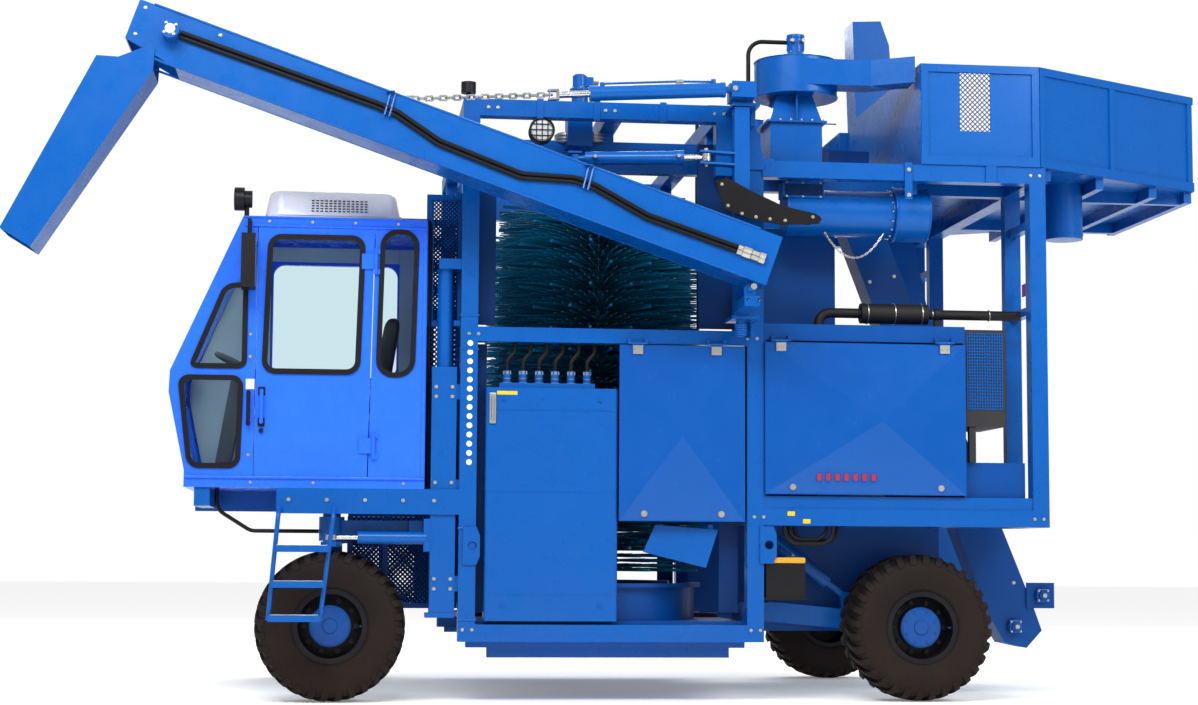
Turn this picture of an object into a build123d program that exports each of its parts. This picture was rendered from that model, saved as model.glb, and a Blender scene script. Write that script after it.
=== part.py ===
"""Self-propelled coffee harvester that straddles one row of trees.

Millimetres. +X points to the rear of the machine, +Z up from the ground, and
-Y to its left side, where the cab, the ladder and the unloading boom are.
"""
from build123d import *
import math
import os

os.makedirs("parts", exist_ok=True)

# Layout. The boom hangs outside the left frame, so the tunnel's centre plane
# lies off the middle of the whole machine.
TUNNEL_Y = 330
FRAME_HALF = 1450
TUBE = 100
FRONT_POST_X = -1025
MID_POST_X = 680
REAR_POST_X = 2425
SILL_Z = 400
DECK_Z = 1087
RAIL_Z = 2147
UPPER_Z = 3175
TOP_Z = 3500
DECK_INNER = 860
SHEET = 6
GAP = 5
SEAT = 0.3

# Wheels: 400/60-15.5 flotation tyres.
TYRE_R = 437
TYRE_W = 400
LUG_H = 24
LUGS = 13
BEAD_R = 203
RIM_EDGE_R = 216
RIM_WALL = 14
HUB_R = 124
WHEEL_Y = 1262
AXLE_FRONT_X = -1810
AXLE_REAR_X = 1690
SPINDLE_R = 38
WHEELS = [("front_left", -1, AXLE_FRONT_X), ("front_right", 1, AXLE_FRONT_X),
          ("rear_left", -1, AXLE_REAR_X), ("rear_right", 1, AXLE_REAR_X)]
LEFT = -1
TUNNEL = Plane(origin=(0, TUNNEL_Y, 0), x_dir=(1, 0, 0), z_dir=(0, 1, 0))

# Picking drums: a shaft on end with rings of rods.
DRUM_X = -170
DRUM_Y = 655
DRUM_R = 635
DRUM_TUBE_R = 100
DRUM_FOOT_Z = 760
DRUM_RINGS = 18
RING_PITCH = 132
RODS = 16
ROD = 16
DRUM_JOURNAL_R = 32
JOURNAL_FOOT_Z = 530


def side_y(side, offset):
    """World Y of a place that lies offset from the tunnel's centre plane."""
    return TUNNEL_Y + side * offset


def block(x0, x1, y0, y1, z0, z1, mode=Mode.ADD):
    """Box between two corners, added to the part being built."""
    with Locations(((x0 + x1) / 2, (y0 + y1) / 2, (z0 + z1) / 2)):
        Box(abs(x1 - x0), abs(y1 - y0), abs(z1 - z0), mode=mode)


def bar(start, end, radius, mode=Mode.ADD):
    """Round bar from one point to another."""
    run = Vector(*end) - Vector(*start)
    middle = Vector(*start) + run * 0.5
    with Locations(Plane(origin=middle, z_dir=run).location):
        Cylinder(radius, run.length, mode=mode)


def beam(start, end, across, deep, mode=Mode.ADD):
    """Square-cut tube; across is its size along Y, deep its size in the XZ plane."""
    run = Vector(*end) - Vector(*start)
    middle = Vector(*start) + run * 0.5
    with Locations(Plane(origin=middle, x_dir=(0, 1, 0), z_dir=run).location):
        Box(across, deep, run.length, mode=mode)


def upright(y):
    """XZ plane at a given Y whose normal points to -Y."""
    return Plane(origin=(0, y, 0), x_dir=(1, 0, 0), z_dir=(0, -1, 0))


def prism(points, y0, y1, corner=0, mode=Mode.ADD):
    """Outline in X and Z, pulled from y0 to y1; corner rounds all its corners."""
    with BuildSketch(upright(max(y0, y1))) as outline:
        with BuildLine():
            Polyline(*points, close=True)
        make_face()
        if corner:
            fillet(outline.vertices(), corner)
    extrude(outline.sketch, amount=abs(y1 - y0), mode=mode)


def slab(points, z0, z1, mode=Mode.ADD):
    """Outline in X and Y, pulled from z0 to z1."""
    with BuildSketch(Plane.XY.offset(z0)) as outline:
        with BuildLine():
            Polyline(*points, close=True)
        make_face()
    extrude(outline.sketch, amount=z1 - z0, mode=mode)


def disc(x, y, z, radius, thick, axis, mode=Mode.ADD):
    """Disc centred on a point, its axis along the given vector."""
    with Locations(Plane(origin=(x, y, z), z_dir=axis).location):
        Cylinder(radius, thick, mode=mode)


def save(part, label):
    """Labels a finished piece and writes it out."""
    part.label = label
    export_step(part, f"parts/{label}.step")


def save_pair(part, label):
    """Writes a left-hand piece and its mirror image across the tunnel."""
    save(part, f"{label}_left")
    save(mirror(part, about=TUNNEL), f"{label}_right")


# Side frames
POST_TOP_Z = UPPER_Z + TUBE / 2
TOP_BEAM_END_X = 540
TOP_BEAM_NOSE_X = FRONT_POST_X - TUBE / 2
RAIL_DEEP = 86
LUG_HOLE_R = 26
LUG_PLATES = [("front", FRONT_POST_X + 29, 905), ("rear", MID_POST_X + 80, 922)]
SKIRT_Z = 255
CROSS_X = [FRONT_POST_X, DRUM_X, TOP_BEAM_END_X - TUBE / 2]

outer = side_y(LEFT, FRAME_HALF)
inner = side_y(LEFT, FRAME_HALF - TUBE)
half = TUBE / 2
# Members: x from, x to, z from, z to.
members = [
    (FRONT_POST_X - half, FRONT_POST_X + half, SILL_Z - half, TOP_Z - half),
    (MID_POST_X - half, MID_POST_X + half, SILL_Z - half, POST_TOP_Z),
    (REAR_POST_X - half, REAR_POST_X + half, DECK_Z - half, POST_TOP_Z),
    (FRONT_POST_X + half, MID_POST_X - half, SILL_Z - half, SILL_Z + half),
    (FRONT_POST_X + half, MID_POST_X - half, RAIL_Z - RAIL_DEEP / 2, RAIL_Z + RAIL_DEEP / 2),
    (MID_POST_X + half, REAR_POST_X - half, DECK_Z - half, DECK_Z + half),
    (MID_POST_X + half, REAR_POST_X - half, UPPER_Z - half, UPPER_Z + half),
    (TOP_BEAM_NOSE_X, TOP_BEAM_END_X, TOP_Z - half, TOP_Z + half),
    (TOP_BEAM_END_X - TUBE, TOP_BEAM_END_X, POST_TOP_Z - TUBE, TOP_Z - half),
    (TOP_BEAM_END_X, MID_POST_X - half, POST_TOP_Z - TUBE, POST_TOP_Z),
]
deck_in = side_y(LEFT, DECK_INNER)
deck_in_far = side_y(LEFT, DECK_INNER + 80)
skirt_y = side_y(LEFT, 1330)
with BuildPart() as side_frame:
    for x0, x1, z0, z1 in members:
        block(x0, x1, outer, inner, z0, z1)
    # Skirt below the sill, on a rail and two stubs.
    block(-900, 540, skirt_y, skirt_y - SHEET, SKIRT_Z, 345)
    block(-1025, 625, skirt_y, inner - 40, 315, SILL_Z - half)
    # Lifting lugs with their holes.
    for name, x, z in LUG_PLATES:
        prism([(x - 55, z - 110), (x + 25, z - 110), (x + 45, z - 60), (x + 45, z + 60),
               (x + 25, z + 110), (x - 55, z + 110)], outer, outer - 12)
        disc(x, outer - 10, z, LUG_HOLE_R, 20, (0, 1, 0), mode=Mode.SUBTRACT)
    # Inner rear post and the deck's inner rail.
    block(REAR_POST_X - half, REAR_POST_X + half, deck_in, deck_in_far, DECK_Z - half, UPPER_Z - half)
    block(MID_POST_X - half, REAR_POST_X - half, deck_in, deck_in_far, DECK_Z - half, DECK_Z + half)
    for x in (MID_POST_X, 1300, 1900, REAR_POST_X):
        block(x - half, x + half, inner, deck_in_far, DECK_Z - half, DECK_Z + half)
    # Deck plate with its edge bar.
    block(MID_POST_X + 30, REAR_POST_X - 30, outer + 8, deck_in, DECK_Z + half, DECK_Z + half + SHEET)
    block(MID_POST_X + half, REAR_POST_X - half, outer + 8, outer + 60, DECK_Z + half, DECK_Z + half + 75)
    # Ties between the rear posts, low and high.
    for z in (2360, 2890):
        block(REAR_POST_X - 30, REAR_POST_X + 30, inner, deck_in_far, z - 25, z + 25)
save(mirror(side_frame.part, about=TUNNEL), "side_frame_right")

# Top frame across the tunnel, with the drum rails and the drum drives' carriers.
RAIL_TOP_Z = 3390
RAIL_LOW_Z = 3200
with BuildPart() as top_frame:
    reach = FRAME_HALF - TUBE
    for x in CROSS_X:
        block(x - 50, x + 50, side_y(-1, reach), side_y(1, reach), TOP_Z - 50, TOP_Z + 50)
    for x in (MID_POST_X, REAR_POST_X):
        block(x - 50, x + 50, side_y(-1, reach), side_y(1, reach), UPPER_Z - 50, UPPER_Z + 50)
    for side in (-1, 1):
        for x in (FRONT_POST_X, DRUM_X, TOP_BEAM_END_X - 50):
            block(x - 40, x + 40, side_y(side, 960), side_y(side, 1040), RAIL_TOP_Z, TOP_Z - 50)
        block(FRONT_POST_X - 40, MID_POST_X - 50, side_y(side, 960), side_y(side, 1040),
              RAIL_LOW_Z, RAIL_TOP_Z)
        disc(DRUM_X, side_y(side, DRUM_Y), 3320, 110, 120, (0, 0, 1))
        # Inner rails that carry the fans and the hopper.
        block(MID_POST_X + 50, REAR_POST_X - 50, side_y(side, DECK_INNER), side_y(side, DECK_INNER + 80),
              UPPER_Z - 50, UPPER_Z + 50)
    block(DRUM_X - 60, DRUM_X + 60, side_y(-1, 960), side_y(1, 960), 3280, 3360)
    # Shaker heads over the drums' outer edges.
    for side in (-1, 1):
        y = side_y(side, 1130)
        block(-430, -280, side_y(side, 1040), side_y(side, 1220), RAIL_TOP_Z - 60, 3560)
        bar((-350, y, 3560), (-350, y, 3680), 50)
    for side in (-1, 1):
        disc(DRUM_X, side_y(side, DRUM_Y), 3320, DRUM_JOURNAL_R + 3, 300, (0, 0, 1), mode=Mode.SUBTRACT)
save(top_frame.part, "top_frame")

# Picking drums
drum_axis_y = side_y(LEFT, DRUM_Y)
rings = [Plane(origin=(DRUM_X, drum_axis_y, DRUM_FOOT_Z + ring * RING_PITCH)).rotated(
    (0, 0, ring % 2 * 180 / RODS)) for ring in range(DRUM_RINGS)]
drum_high = (DRUM_RINGS - 1) * RING_PITCH + ROD
with BuildPart() as drum:
    with BuildSketch(*rings) as stars:
        Circle(DRUM_TUBE_R + 22)
        with PolarLocations(0, RODS):
            Rectangle(DRUM_R, ROD, align=(Align.MIN, Align.CENTER))
    extrude(amount=ROD)
    with Locations((DRUM_X, drum_axis_y, DRUM_FOOT_Z + drum_high / 2)):
        Cylinder(DRUM_TUBE_R, drum_high + 60)
    bar((DRUM_X, drum_axis_y, JOURNAL_FOOT_Z + SEAT), (DRUM_X, drum_axis_y, 3420), DRUM_JOURNAL_R)
save_pair(drum.part, "picking_drum")

# Catching floor: round pans below the drums, plates, and a conveyor each side.
PAN_R = 600
PAN_TOP_Z = 690
PLATES = 11
with BuildPart() as catch_floor:
    for side in (-1, 1):
        y = side_y(side, DRUM_Y)
        disc(DRUM_X, y, (470 + PAN_TOP_Z) / 2, PAN_R, PAN_TOP_Z - 470, (0, 0, 1))
        disc(DRUM_X, y, PAN_TOP_Z - 12, PAN_R + 40, 24, (0, 0, 1))
        disc(DRUM_X, y, 600, PAN_R - 8, 220, (0, 0, 1), mode=Mode.SUBTRACT)
        disc(DRUM_X, y, 520, 70, 80, (0, 0, 1))
        disc(DRUM_X, y, JOURNAL_FOOT_Z + 30, DRUM_JOURNAL_R + 3, 60, (0, 0, 1), mode=Mode.SUBTRACT)
        # Floor of the picking bay out to the side frame.
        block(FRONT_POST_X + 50, MID_POST_X - 50, side_y(side, 1350), side_y(side, 420), 440, 470)
    block(DRUM_X - 700, DRUM_X + 700, side_y(-1, 420), side_y(1, 420), 440, 720, mode=Mode.SUBTRACT)
save(catch_floor.part, "catch_floor")

with BuildPart() as catch_plates:
    pitch = (MID_POST_X - FRONT_POST_X - 100) / PLATES
    for side in (-1, 1):
        block(FRONT_POST_X + 50, MID_POST_X - 50, side_y(side, 420 - SEAT), side_y(side, 385), 440, 497)
        for index in range(PLATES):
            x = FRONT_POST_X + 50 + (index + 0.5) * pitch
            with Locations(Plane(origin=(x, side_y(side, 205), 462), x_dir=(1, 0, 0),
                                 z_dir=(0.06, -side * 0.16, 1)).location):
                Box(pitch + 14, 385, SHEET)
save(catch_plates.part, "catch_plates")

# Wheels. The profile runs outwards along the axle and up along the radius.
BEAD_HALF = 165 - SEAT
tyre_profile = [(-BEAD_HALF, BEAD_R), (-BEAD_HALF, RIM_EDGE_R + SEAT), (-186, RIM_EDGE_R + SEAT), (-200, 280), (-200, 345), (-180, 392), (-110, 413),
                (110, 413), (180, 392), (200, 345), (200, 280), (186, RIM_EDGE_R + SEAT),
                (BEAD_HALF, RIM_EDGE_R + SEAT), (BEAD_HALF, BEAD_R)]
lug_long = 175
lug_wide = 52
lug_slant = 28
lug_reach = lug_long / 2 * math.sin(math.radians(lug_slant)) + lug_wide / 2
lug_top = math.sqrt(TYRE_R ** 2 - lug_reach ** 2)
wheel_y = side_y(LEFT, WHEEL_Y)
axle = Vector(AXLE_FRONT_X, wheel_y, TYRE_R)
across_plane = Plane(origin=axle, x_dir=(0, -1, 0), z_dir=(-1, 0, 0))
spin = Axis(axle, (0, 1, 0))
lug_places = []
for row in (-1, 1):
    for index in range(LUGS):
        turn = math.radians((index + (row + 1) / 4) * 360 / LUGS)
        out = Vector(math.cos(turn), 0, math.sin(turn))
        along = Vector(-math.sin(turn), 0, math.cos(turn))
        lean = math.radians(lug_slant)
        lay = Vector(0, row * math.cos(lean), 0) + along * math.sin(lean)
        seat = axle + out * (lug_top - LUG_H) + Vector(0, row * 104, 0)
        lug_places.append(Plane(origin=seat, x_dir=lay, z_dir=out).location)
with BuildPart() as tyre:
    with BuildSketch(across_plane) as section:
        with BuildLine():
            Polyline(*tyre_profile, close=True)
        make_face()
    revolve(section.sketch, axis=spin)
    with Locations(*lug_places):
        Box(lug_long, lug_wide, 2 * LUG_H)
    # Keeps the lugs' outer ends inside the tyre's width.
    with Locations(Plane(origin=axle, z_dir=(0, 1, 0)).location):
        Cylinder(TYRE_R + 20, TYRE_W, mode=Mode.INTERSECT)

rim_profile = [(-165, BEAD_R - RIM_WALL), (-165, RIM_EDGE_R), (-178, RIM_EDGE_R), (-178, BEAD_R - RIM_WALL - 4),
               (-60, 176), (40, 176), (55, 120), (55, 0), (71, 0), (71, 120), (58, 186),
               (178, BEAD_R - RIM_WALL - 4), (178, RIM_EDGE_R), (165, RIM_EDGE_R), (165, BEAD_R - RIM_WALL),
               (160, BEAD_R - SEAT), (-160, BEAD_R - SEAT)]
with BuildPart() as rim:
    with BuildSketch(across_plane) as section:
        with BuildLine():
            Polyline(*rim_profile, close=True)
        make_face()
    revolve(section.sketch, axis=spin)
    disc(axle.X, wheel_y - 85, axle.Z, HUB_R, 60, (0, 1, 0))
    disc(axle.X, wheel_y - 122, axle.Z, 62, 40, (0, 1, 0))
for name, side, axle_x in WHEELS:
    for solid, label in ((tyre.part, "tyre"), (rim.part, "rim")):
        wheel_part = solid.moved(Location((axle_x - AXLE_FRONT_X, 0, 0)))
        save(mirror(wheel_part, about=TUNNEL) if side > 0 else wheel_part, f"{label}_{name}")

# Front legs with the kingpin housings and the steering cylinders' barrels.
KINGPIN_R = 32
HOUSING_R = 74
CROWN_Z = 895
CROWN_THICK = 30
STEER_LEVER = 150
STEER_Z = 948
STEER_ROD_R = 17
STEER_BARREL_R = 37
HOUSING_Z = CROWN_Z + CROWN_THICK + GAP
HOUSING_TOP_Z = 1070
LEG_X = -1168
LEG_WIDE = 146
LEG_TOP_Z = 1950
LIFT_TOP_Z = 2590
kingpin_y = side_y(LEFT, WHEEL_Y)
steer_y = side_y(LEFT, WHEEL_Y + STEER_LEVER)
leg_out = side_y(LEFT, 1435)
leg_in = side_y(LEFT, 1200)
with BuildPart() as front_leg:
    block(LEG_X - LEG_WIDE / 2, LEG_X + LEG_WIDE / 2, leg_out, side_y(LEFT, 1290), 515, LEG_TOP_Z)
    block(LEG_X - 95, LEG_X + LEG_WIDE / 2, leg_out - 8, side_y(LEFT, 1280), 488, 515)
    # Guide blocks between the leg and the front post.
    for z in (640, 1200, 1760):
        block(LEG_X + LEG_WIDE / 2, FRONT_POST_X - TUBE / 2, side_y(LEFT, 1430), side_y(LEFT, 1355), z, z + 90)
    block(LEG_X - 40, FRONT_POST_X - TUBE / 2, side_y(LEFT, 1440), side_y(LEFT, 1360), LIFT_TOP_Z - 60, LIFT_TOP_Z)
    bar((LEG_X, side_y(LEFT, 1370), LEG_TOP_Z), (LEG_X, side_y(LEFT, 1370), LIFT_TOP_Z - 60), 44)
    # Arm to the kingpin housing.
    block(AXLE_FRONT_X, LEG_X - LEG_WIDE / 2, kingpin_y - 45, kingpin_y + 45, 945, 1050)
    block(LEG_X - LEG_WIDE / 2 - 120, LEG_X - LEG_WIDE / 2, kingpin_y - 45, side_y(LEFT, 1300) - 60, 945, 1050)
    block(LEG_X - LEG_WIDE / 2, LEG_X + LEG_WIDE / 2, side_y(LEFT, 1290), leg_in, 930, 1065)
    disc(AXLE_FRONT_X, kingpin_y, (HOUSING_Z + HOUSING_TOP_Z) / 2, HOUSING_R, HOUSING_TOP_Z - HOUSING_Z, (0, 0, 1))
    disc(AXLE_FRONT_X, kingpin_y, HOUSING_TOP_Z, KINGPIN_R + 2, 400, (0, 0, 1), mode=Mode.SUBTRACT)
    # Steering cylinder's barrel, bored for its rod.
    bar((-1660, steer_y, STEER_Z), (LEG_X - 95, steer_y, STEER_Z), STEER_BARREL_R)
    block(LEG_X - 110, LEG_X - LEG_WIDE / 2, steer_y - 30, steer_y + 40, 870, 1060)
    bar((-1700, steer_y, STEER_Z), (-1300, steer_y, STEER_Z), STEER_ROD_R + SEAT, mode=Mode.SUBTRACT)
save_pair(front_leg.part, "front_leg")

with BuildPart() as steer_rod:
    bar((AXLE_FRONT_X + 20, steer_y, STEER_Z), (-1400, steer_y, STEER_Z), STEER_ROD_R)
    disc(AXLE_FRONT_X, steer_y, STEER_Z, 34, 32, (0, 0, 1))
save_pair(steer_rod.part, "steer_rod")

KNUCKLE_LEG = 40
spindle_y = wheel_y - 55 + SEAT
knuckle_out = WHEEL_Y - TYRE_W / 2 - 22
with BuildPart() as knuckle:
    block(AXLE_FRONT_X - 62, AXLE_FRONT_X + 62, kingpin_y - 62, side_y(LEFT, knuckle_out - KNUCKLE_LEG),
          CROWN_Z, CROWN_Z + CROWN_THICK)
    block(AXLE_FRONT_X - 62, AXLE_FRONT_X + 62, side_y(LEFT, knuckle_out), side_y(LEFT, knuckle_out - KNUCKLE_LEG),
          TYRE_R - 90, CROWN_Z)
    block(AXLE_FRONT_X - 28, AXLE_FRONT_X + 28, kingpin_y, steer_y - 30, CROWN_Z, CROWN_Z + CROWN_THICK)
    bar((AXLE_FRONT_X, kingpin_y, CROWN_Z), (AXLE_FRONT_X, kingpin_y, HOUSING_TOP_Z + 18), KINGPIN_R)
    bar((AXLE_FRONT_X, kingpin_y, HOUSING_TOP_Z + SEAT), (AXLE_FRONT_X, kingpin_y, HOUSING_TOP_Z + 18), KINGPIN_R + 20)
    bar((AXLE_FRONT_X, side_y(LEFT, knuckle_out), TYRE_R), (AXLE_FRONT_X, spindle_y, TYRE_R), SPINDLE_R)
save_pair(knuckle.part, "knuckle")

# Rear trailing arms with the levelling cylinders.
ARM_PIVOT_X = 850
ARM_PIVOT_Z = 520
ARM_Y = 1000
arm_y0 = side_y(LEFT, ARM_Y + 40)
arm_y1 = side_y(LEFT, ARM_Y - 40)
with BuildPart() as rear_arm:
    block(MID_POST_X - 50, MID_POST_X + 50, inner, side_y(LEFT, ARM_Y - 60), 470, 580)
    for y in (ARM_Y + 52, ARM_Y - 52):
        block(MID_POST_X + 50, ARM_PIVOT_X, side_y(LEFT, y + 8), side_y(LEFT, y - 8), 465, 575)
        disc(ARM_PIVOT_X, side_y(LEFT, y), ARM_PIVOT_Z, 55, 16, (0, 1, 0))
    disc(ARM_PIVOT_X, side_y(LEFT, ARM_Y), ARM_PIVOT_Z, 62, 88, (0, 1, 0))
    beam((ARM_PIVOT_X, side_y(LEFT, ARM_Y), ARM_PIVOT_Z), (AXLE_REAR_X + 60, side_y(LEFT, ARM_Y), TYRE_R), 80, 120)
    bar((AXLE_REAR_X, arm_y1, TYRE_R), (AXLE_REAR_X, spindle_y, TYRE_R), SPINDLE_R)
    bar((846, side_y(LEFT, ARM_Y), 985), (1210, side_y(LEFT, ARM_Y), 700), 43)
    bar((1210, side_y(LEFT, ARM_Y), 700), (1330, side_y(LEFT, ARM_Y), 606), 22)
    block(800, 890, arm_y0, arm_y1, 940, DECK_Z + TUBE / 2)
    block(1290, 1370, side_y(LEFT, ARM_Y + 25), side_y(LEFT, ARM_Y - 25), 500, 640)
save_pair(rear_arm.part, "rear_arm")

# Cab
CAB_IN = 500
CAB_WALL = 40
CAB_FLOOR = 60
CAB_REAR_X = -1278
CAB_FLOOR_Z = 1232
CAB_ROOF_Z = 2815
cab_out = side_y(LEFT, FRAME_HALF)
cab_in = side_y(LEFT, CAB_IN)
cab_outline = [(-2350, CAB_ROOF_Z), (-2752, 1905), (-2757, 1780), (-2660, 1330), (-2660, CAB_FLOOR_Z),
               (CAB_REAR_X, CAB_FLOOR_Z), (CAB_REAR_X, CAB_ROOF_Z)]
cab_room = [(-2322, CAB_ROOF_Z - CAB_WALL), (-2708, 1900), (-2713, 1785), (-2620, 1340),
            (-2620, CAB_FLOOR_Z + CAB_FLOOR), (CAB_REAR_X - CAB_WALL, CAB_FLOOR_Z + CAB_FLOOR),
            (CAB_REAR_X - CAB_WALL, CAB_ROOF_Z - CAB_WALL)]
DOOR_Z = (1296, 2757)
DOOR_X = (-2262, -1612, -1586)
HINGE_X = -1578
HINGE_Y = cab_out - 16
HINGE_R = 11
HINGE_HALF = 45
DOOR_HINGE_Z = (1480, 2560)
door_outline = [(DOOR_X[0], DOOR_Z[0]), (DOOR_X[1], DOOR_Z[0]), (DOOR_X[2], DOOR_Z[1]), (DOOR_X[0], DOOR_Z[1])]
door_hole = [(DOOR_X[0] - GAP, DOOR_Z[0] - GAP), (DOOR_X[1] + GAP, DOOR_Z[0] - GAP),
             (DOOR_X[2] + GAP, DOOR_Z[1] + GAP), (DOOR_X[0] - GAP, DOOR_Z[1] + GAP)]
door_window = [(-2219, 1903), (-1673, 1903), (-1650, 2699), (-2193, 2699)]
# Side windows: outline and corner radius.
near_windows = [
    ([(-2326, 2415), (-2442, 2400), (-2640, 1930), (-2326, 1930)], 45),
    ([(-2342, 1868), (-2698, 1868), (-2632, 1352), (-2354, 1352)], 60),
    ([(-1560, 1892), (-1355, 1892), (-1335, 2742), (-1540, 2742)], 95),
]
far_window = ([(-2200, 1950), (-1430, 1950), (-1430, 2650), (-2200, 2650)], 70)
screens = [
    [(-2370, 2650), (-2645, 2010), (-2800, 2010), (-2800, 2650)],
    [(-2690, 1740), (-2620, 1400), (-2800, 1400), (-2800, 1740)],
]
SCREEN_Y = (1380, 570)
with BuildPart() as cab_shell:
    prism(cab_outline, cab_out, cab_in)
    prism(cab_room, cab_out + CAB_WALL, cab_in - CAB_WALL, mode=Mode.SUBTRACT)
    prism(door_hole, cab_out - 20, cab_out + CAB_WALL + 5, mode=Mode.SUBTRACT)
    for points, corner in near_windows:
        prism(points, cab_out - 20, cab_out + CAB_WALL + 5, corner, mode=Mode.SUBTRACT)
    prism(far_window[0], cab_in - CAB_WALL - 5, cab_in + 20, far_window[1], mode=Mode.SUBTRACT)
    for points in screens:
        prism(points, side_y(LEFT, SCREEN_Y[0]), side_y(LEFT, SCREEN_Y[1]), mode=Mode.SUBTRACT)
    block(CAB_REAR_X - 60, CAB_REAR_X + 20, side_y(LEFT, 1350), side_y(LEFT, 600), 1950, 2650, mode=Mode.SUBTRACT)
    # Fixed halves of the door's hinges.
    for z in DOOR_HINGE_Z:
        for low in (z - HINGE_HALF - SEAT - 30, z + HINGE_HALF + SEAT):
            bar((HINGE_X, HINGE_Y, low), (HINGE_X, HINGE_Y, low + 30), HINGE_R)
            block(HINGE_X - 4, HINGE_X + 24, HINGE_Y, cab_out, low, low + 30)
save(cab_shell.part, "cab_shell")

PANE = 5
with BuildPart() as cab_glass:
    for points, corner in near_windows:
        prism(points, cab_out + 14, cab_out + 14 + PANE, corner)
    prism(far_window[0], cab_in - 14, cab_in - 14 - PANE, far_window[1])
    for top, foot in (((-2374, 2650), (-2656, 2010)), ((-2727, 1740), (-2652, 1400))):
        slope = (Vector(top[0], 0, top[1]) - Vector(foot[0], 0, foot[1])).normalized()
        low = Vector(foot[0], side_y(LEFT, 975), foot[1]) + slope * 3
        high = Vector(top[0], side_y(LEFT, 975), top[1]) - slope * 3
        beam(low, high, 810 - 2 * SEAT, PANE)
    block(CAB_REAR_X - 20, CAB_REAR_X - 20 + PANE, side_y(LEFT, 1350 - SEAT), side_y(LEFT, 600 + SEAT),
          1950 + SEAT, 2650 - SEAT)
save(cab_glass.part, "cab_glass")

DOOR_THICK = 38
door_out = cab_out - 2
with BuildPart() as cab_door:
    prism(door_outline, door_out, door_out + DOOR_THICK)
    prism(door_window, door_out - 10, door_out + DOOR_THICK + 10, 70, mode=Mode.SUBTRACT)
    for z in DOOR_HINGE_Z:
        disc(HINGE_X, HINGE_Y, z, HINGE_R, 2 * HINGE_HALF, (0, 0, 1))
        block(-1660, HINGE_X, HINGE_Y + 3, door_out + 1, z - HINGE_HALF, z + HINGE_HALF)
    # Pull handle at the opening edge.
    bar((-2225, door_out - 30, 1610), (-2225, door_out - 30, 1790), 11)
    for z in (1610, 1790):
        bar((-2225, door_out - 38, z), (-2225, door_out + 5, z), 11)
save(cab_door.part, "cab_door")

with BuildPart() as door_glass:
    prism(door_window, door_out + 14, door_out + 14 + PANE, 70)
save(door_glass.part, "door_glass")

seat_y = side_y(LEFT, 960)
with BuildPart() as cab_seat:
    block(-2000, -1640, seat_y - 150, seat_y + 150, CAB_FLOOR_Z + CAB_FLOOR, 1560)
    block(-2040, -1560, seat_y - 250, seat_y + 250, 1560, 1680)
    with BuildSketch(upright(seat_y + 240)) as back:
        with BuildLine():
            Polyline((-1620, 1640), (-1500, 1640), (-1400, 2300), (-1510, 2300), close=True)
        make_face()
    extrude(back.sketch, amount=480)
    fillet(cab_seat.edges().filter_by(Axis.Y).group_by(Axis.Z)[-1], 40)
save(cab_seat.part, "cab_seat")

STEER_WHEEL_R = 190
with BuildPart() as cab_controls:
    block(-2530, -2410, seat_y - 70, seat_y + 70, CAB_FLOOR_Z + CAB_FLOOR, 1330)
    beam((-2475, seat_y, 1320), (-2380, seat_y, 1890), 110, 90)
    wheel_plane = Plane(origin=(-2345, seat_y, 1960), z_dir=(0.45, 0, 0.9))
    with Locations(wheel_plane.location):
        Cylinder(22, 150)
        for turn in (0, 120, 240):
            with Locations(Rotation(0, 0, turn)):
                Box(STEER_WHEEL_R, 26, 10, align=(Align.MIN, Align.CENTER, Align.CENTER))
    with BuildSketch(Plane(origin=wheel_plane.origin, x_dir=wheel_plane.x_dir, z_dir=wheel_plane.y_dir)) as grip:
        with Locations((STEER_WHEEL_R, 0)):
            RegularPolygon(15, 8)
    revolve(grip.sketch, axis=Axis(wheel_plane.origin, wheel_plane.z_dir))
    block(-2150, -1650, cab_in - CAB_WALL, cab_in - 180, CAB_FLOOR_Z + CAB_FLOOR, 1780)
save(cab_controls.part, "cab_controls")

with BuildPart() as aircon_unit:
    block(-2215, -1430, side_y(LEFT, 1330), side_y(LEFT, 620), CAB_ROOF_Z, CAB_ROOF_Z + 30)
    with BuildSketch(Plane.XY.offset(CAB_ROOF_Z + 30)) as lid:
        with Locations((-1835, side_y(LEFT, 975))):
            RectangleRounded(800, 720, 110)
    extrude(lid.sketch, amount=150, taper=12)
    fillet(aircon_unit.faces().sort_by(Axis.Z)[-1].edges(), 38)
save(aircon_unit.part, "aircon_unit")

MIRROR_X = -2312
with BuildPart() as mirror_and_lamp:
    block(MIRROR_X - 40, MIRROR_X + 40, side_y(LEFT, 1478), side_y(LEFT, 1625), 2375, 2690)
    bar((MIRROR_X, side_y(LEFT, 1500), 2680), (MIRROR_X, side_y(LEFT, 1500), 2790), 12)
    bar((MIRROR_X, side_y(LEFT, 1510), 2780), (MIRROR_X, side_y(LEFT, 1450), 2780), 12)
    # Work lamp on the roof's front corner.
    bar((-2335, side_y(LEFT, 1400), CAB_ROOF_Z), (-2335, side_y(LEFT, 1400), 2870), 14)
    disc(-2375, side_y(LEFT, 1400), 2920, 68, 50, (1, 0, 0))
    disc(-2335, side_y(LEFT, 1400), 2920, 50, 60, (1, 0, 0))
save(mirror_and_lamp.part, "mirror_and_lamp")

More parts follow.
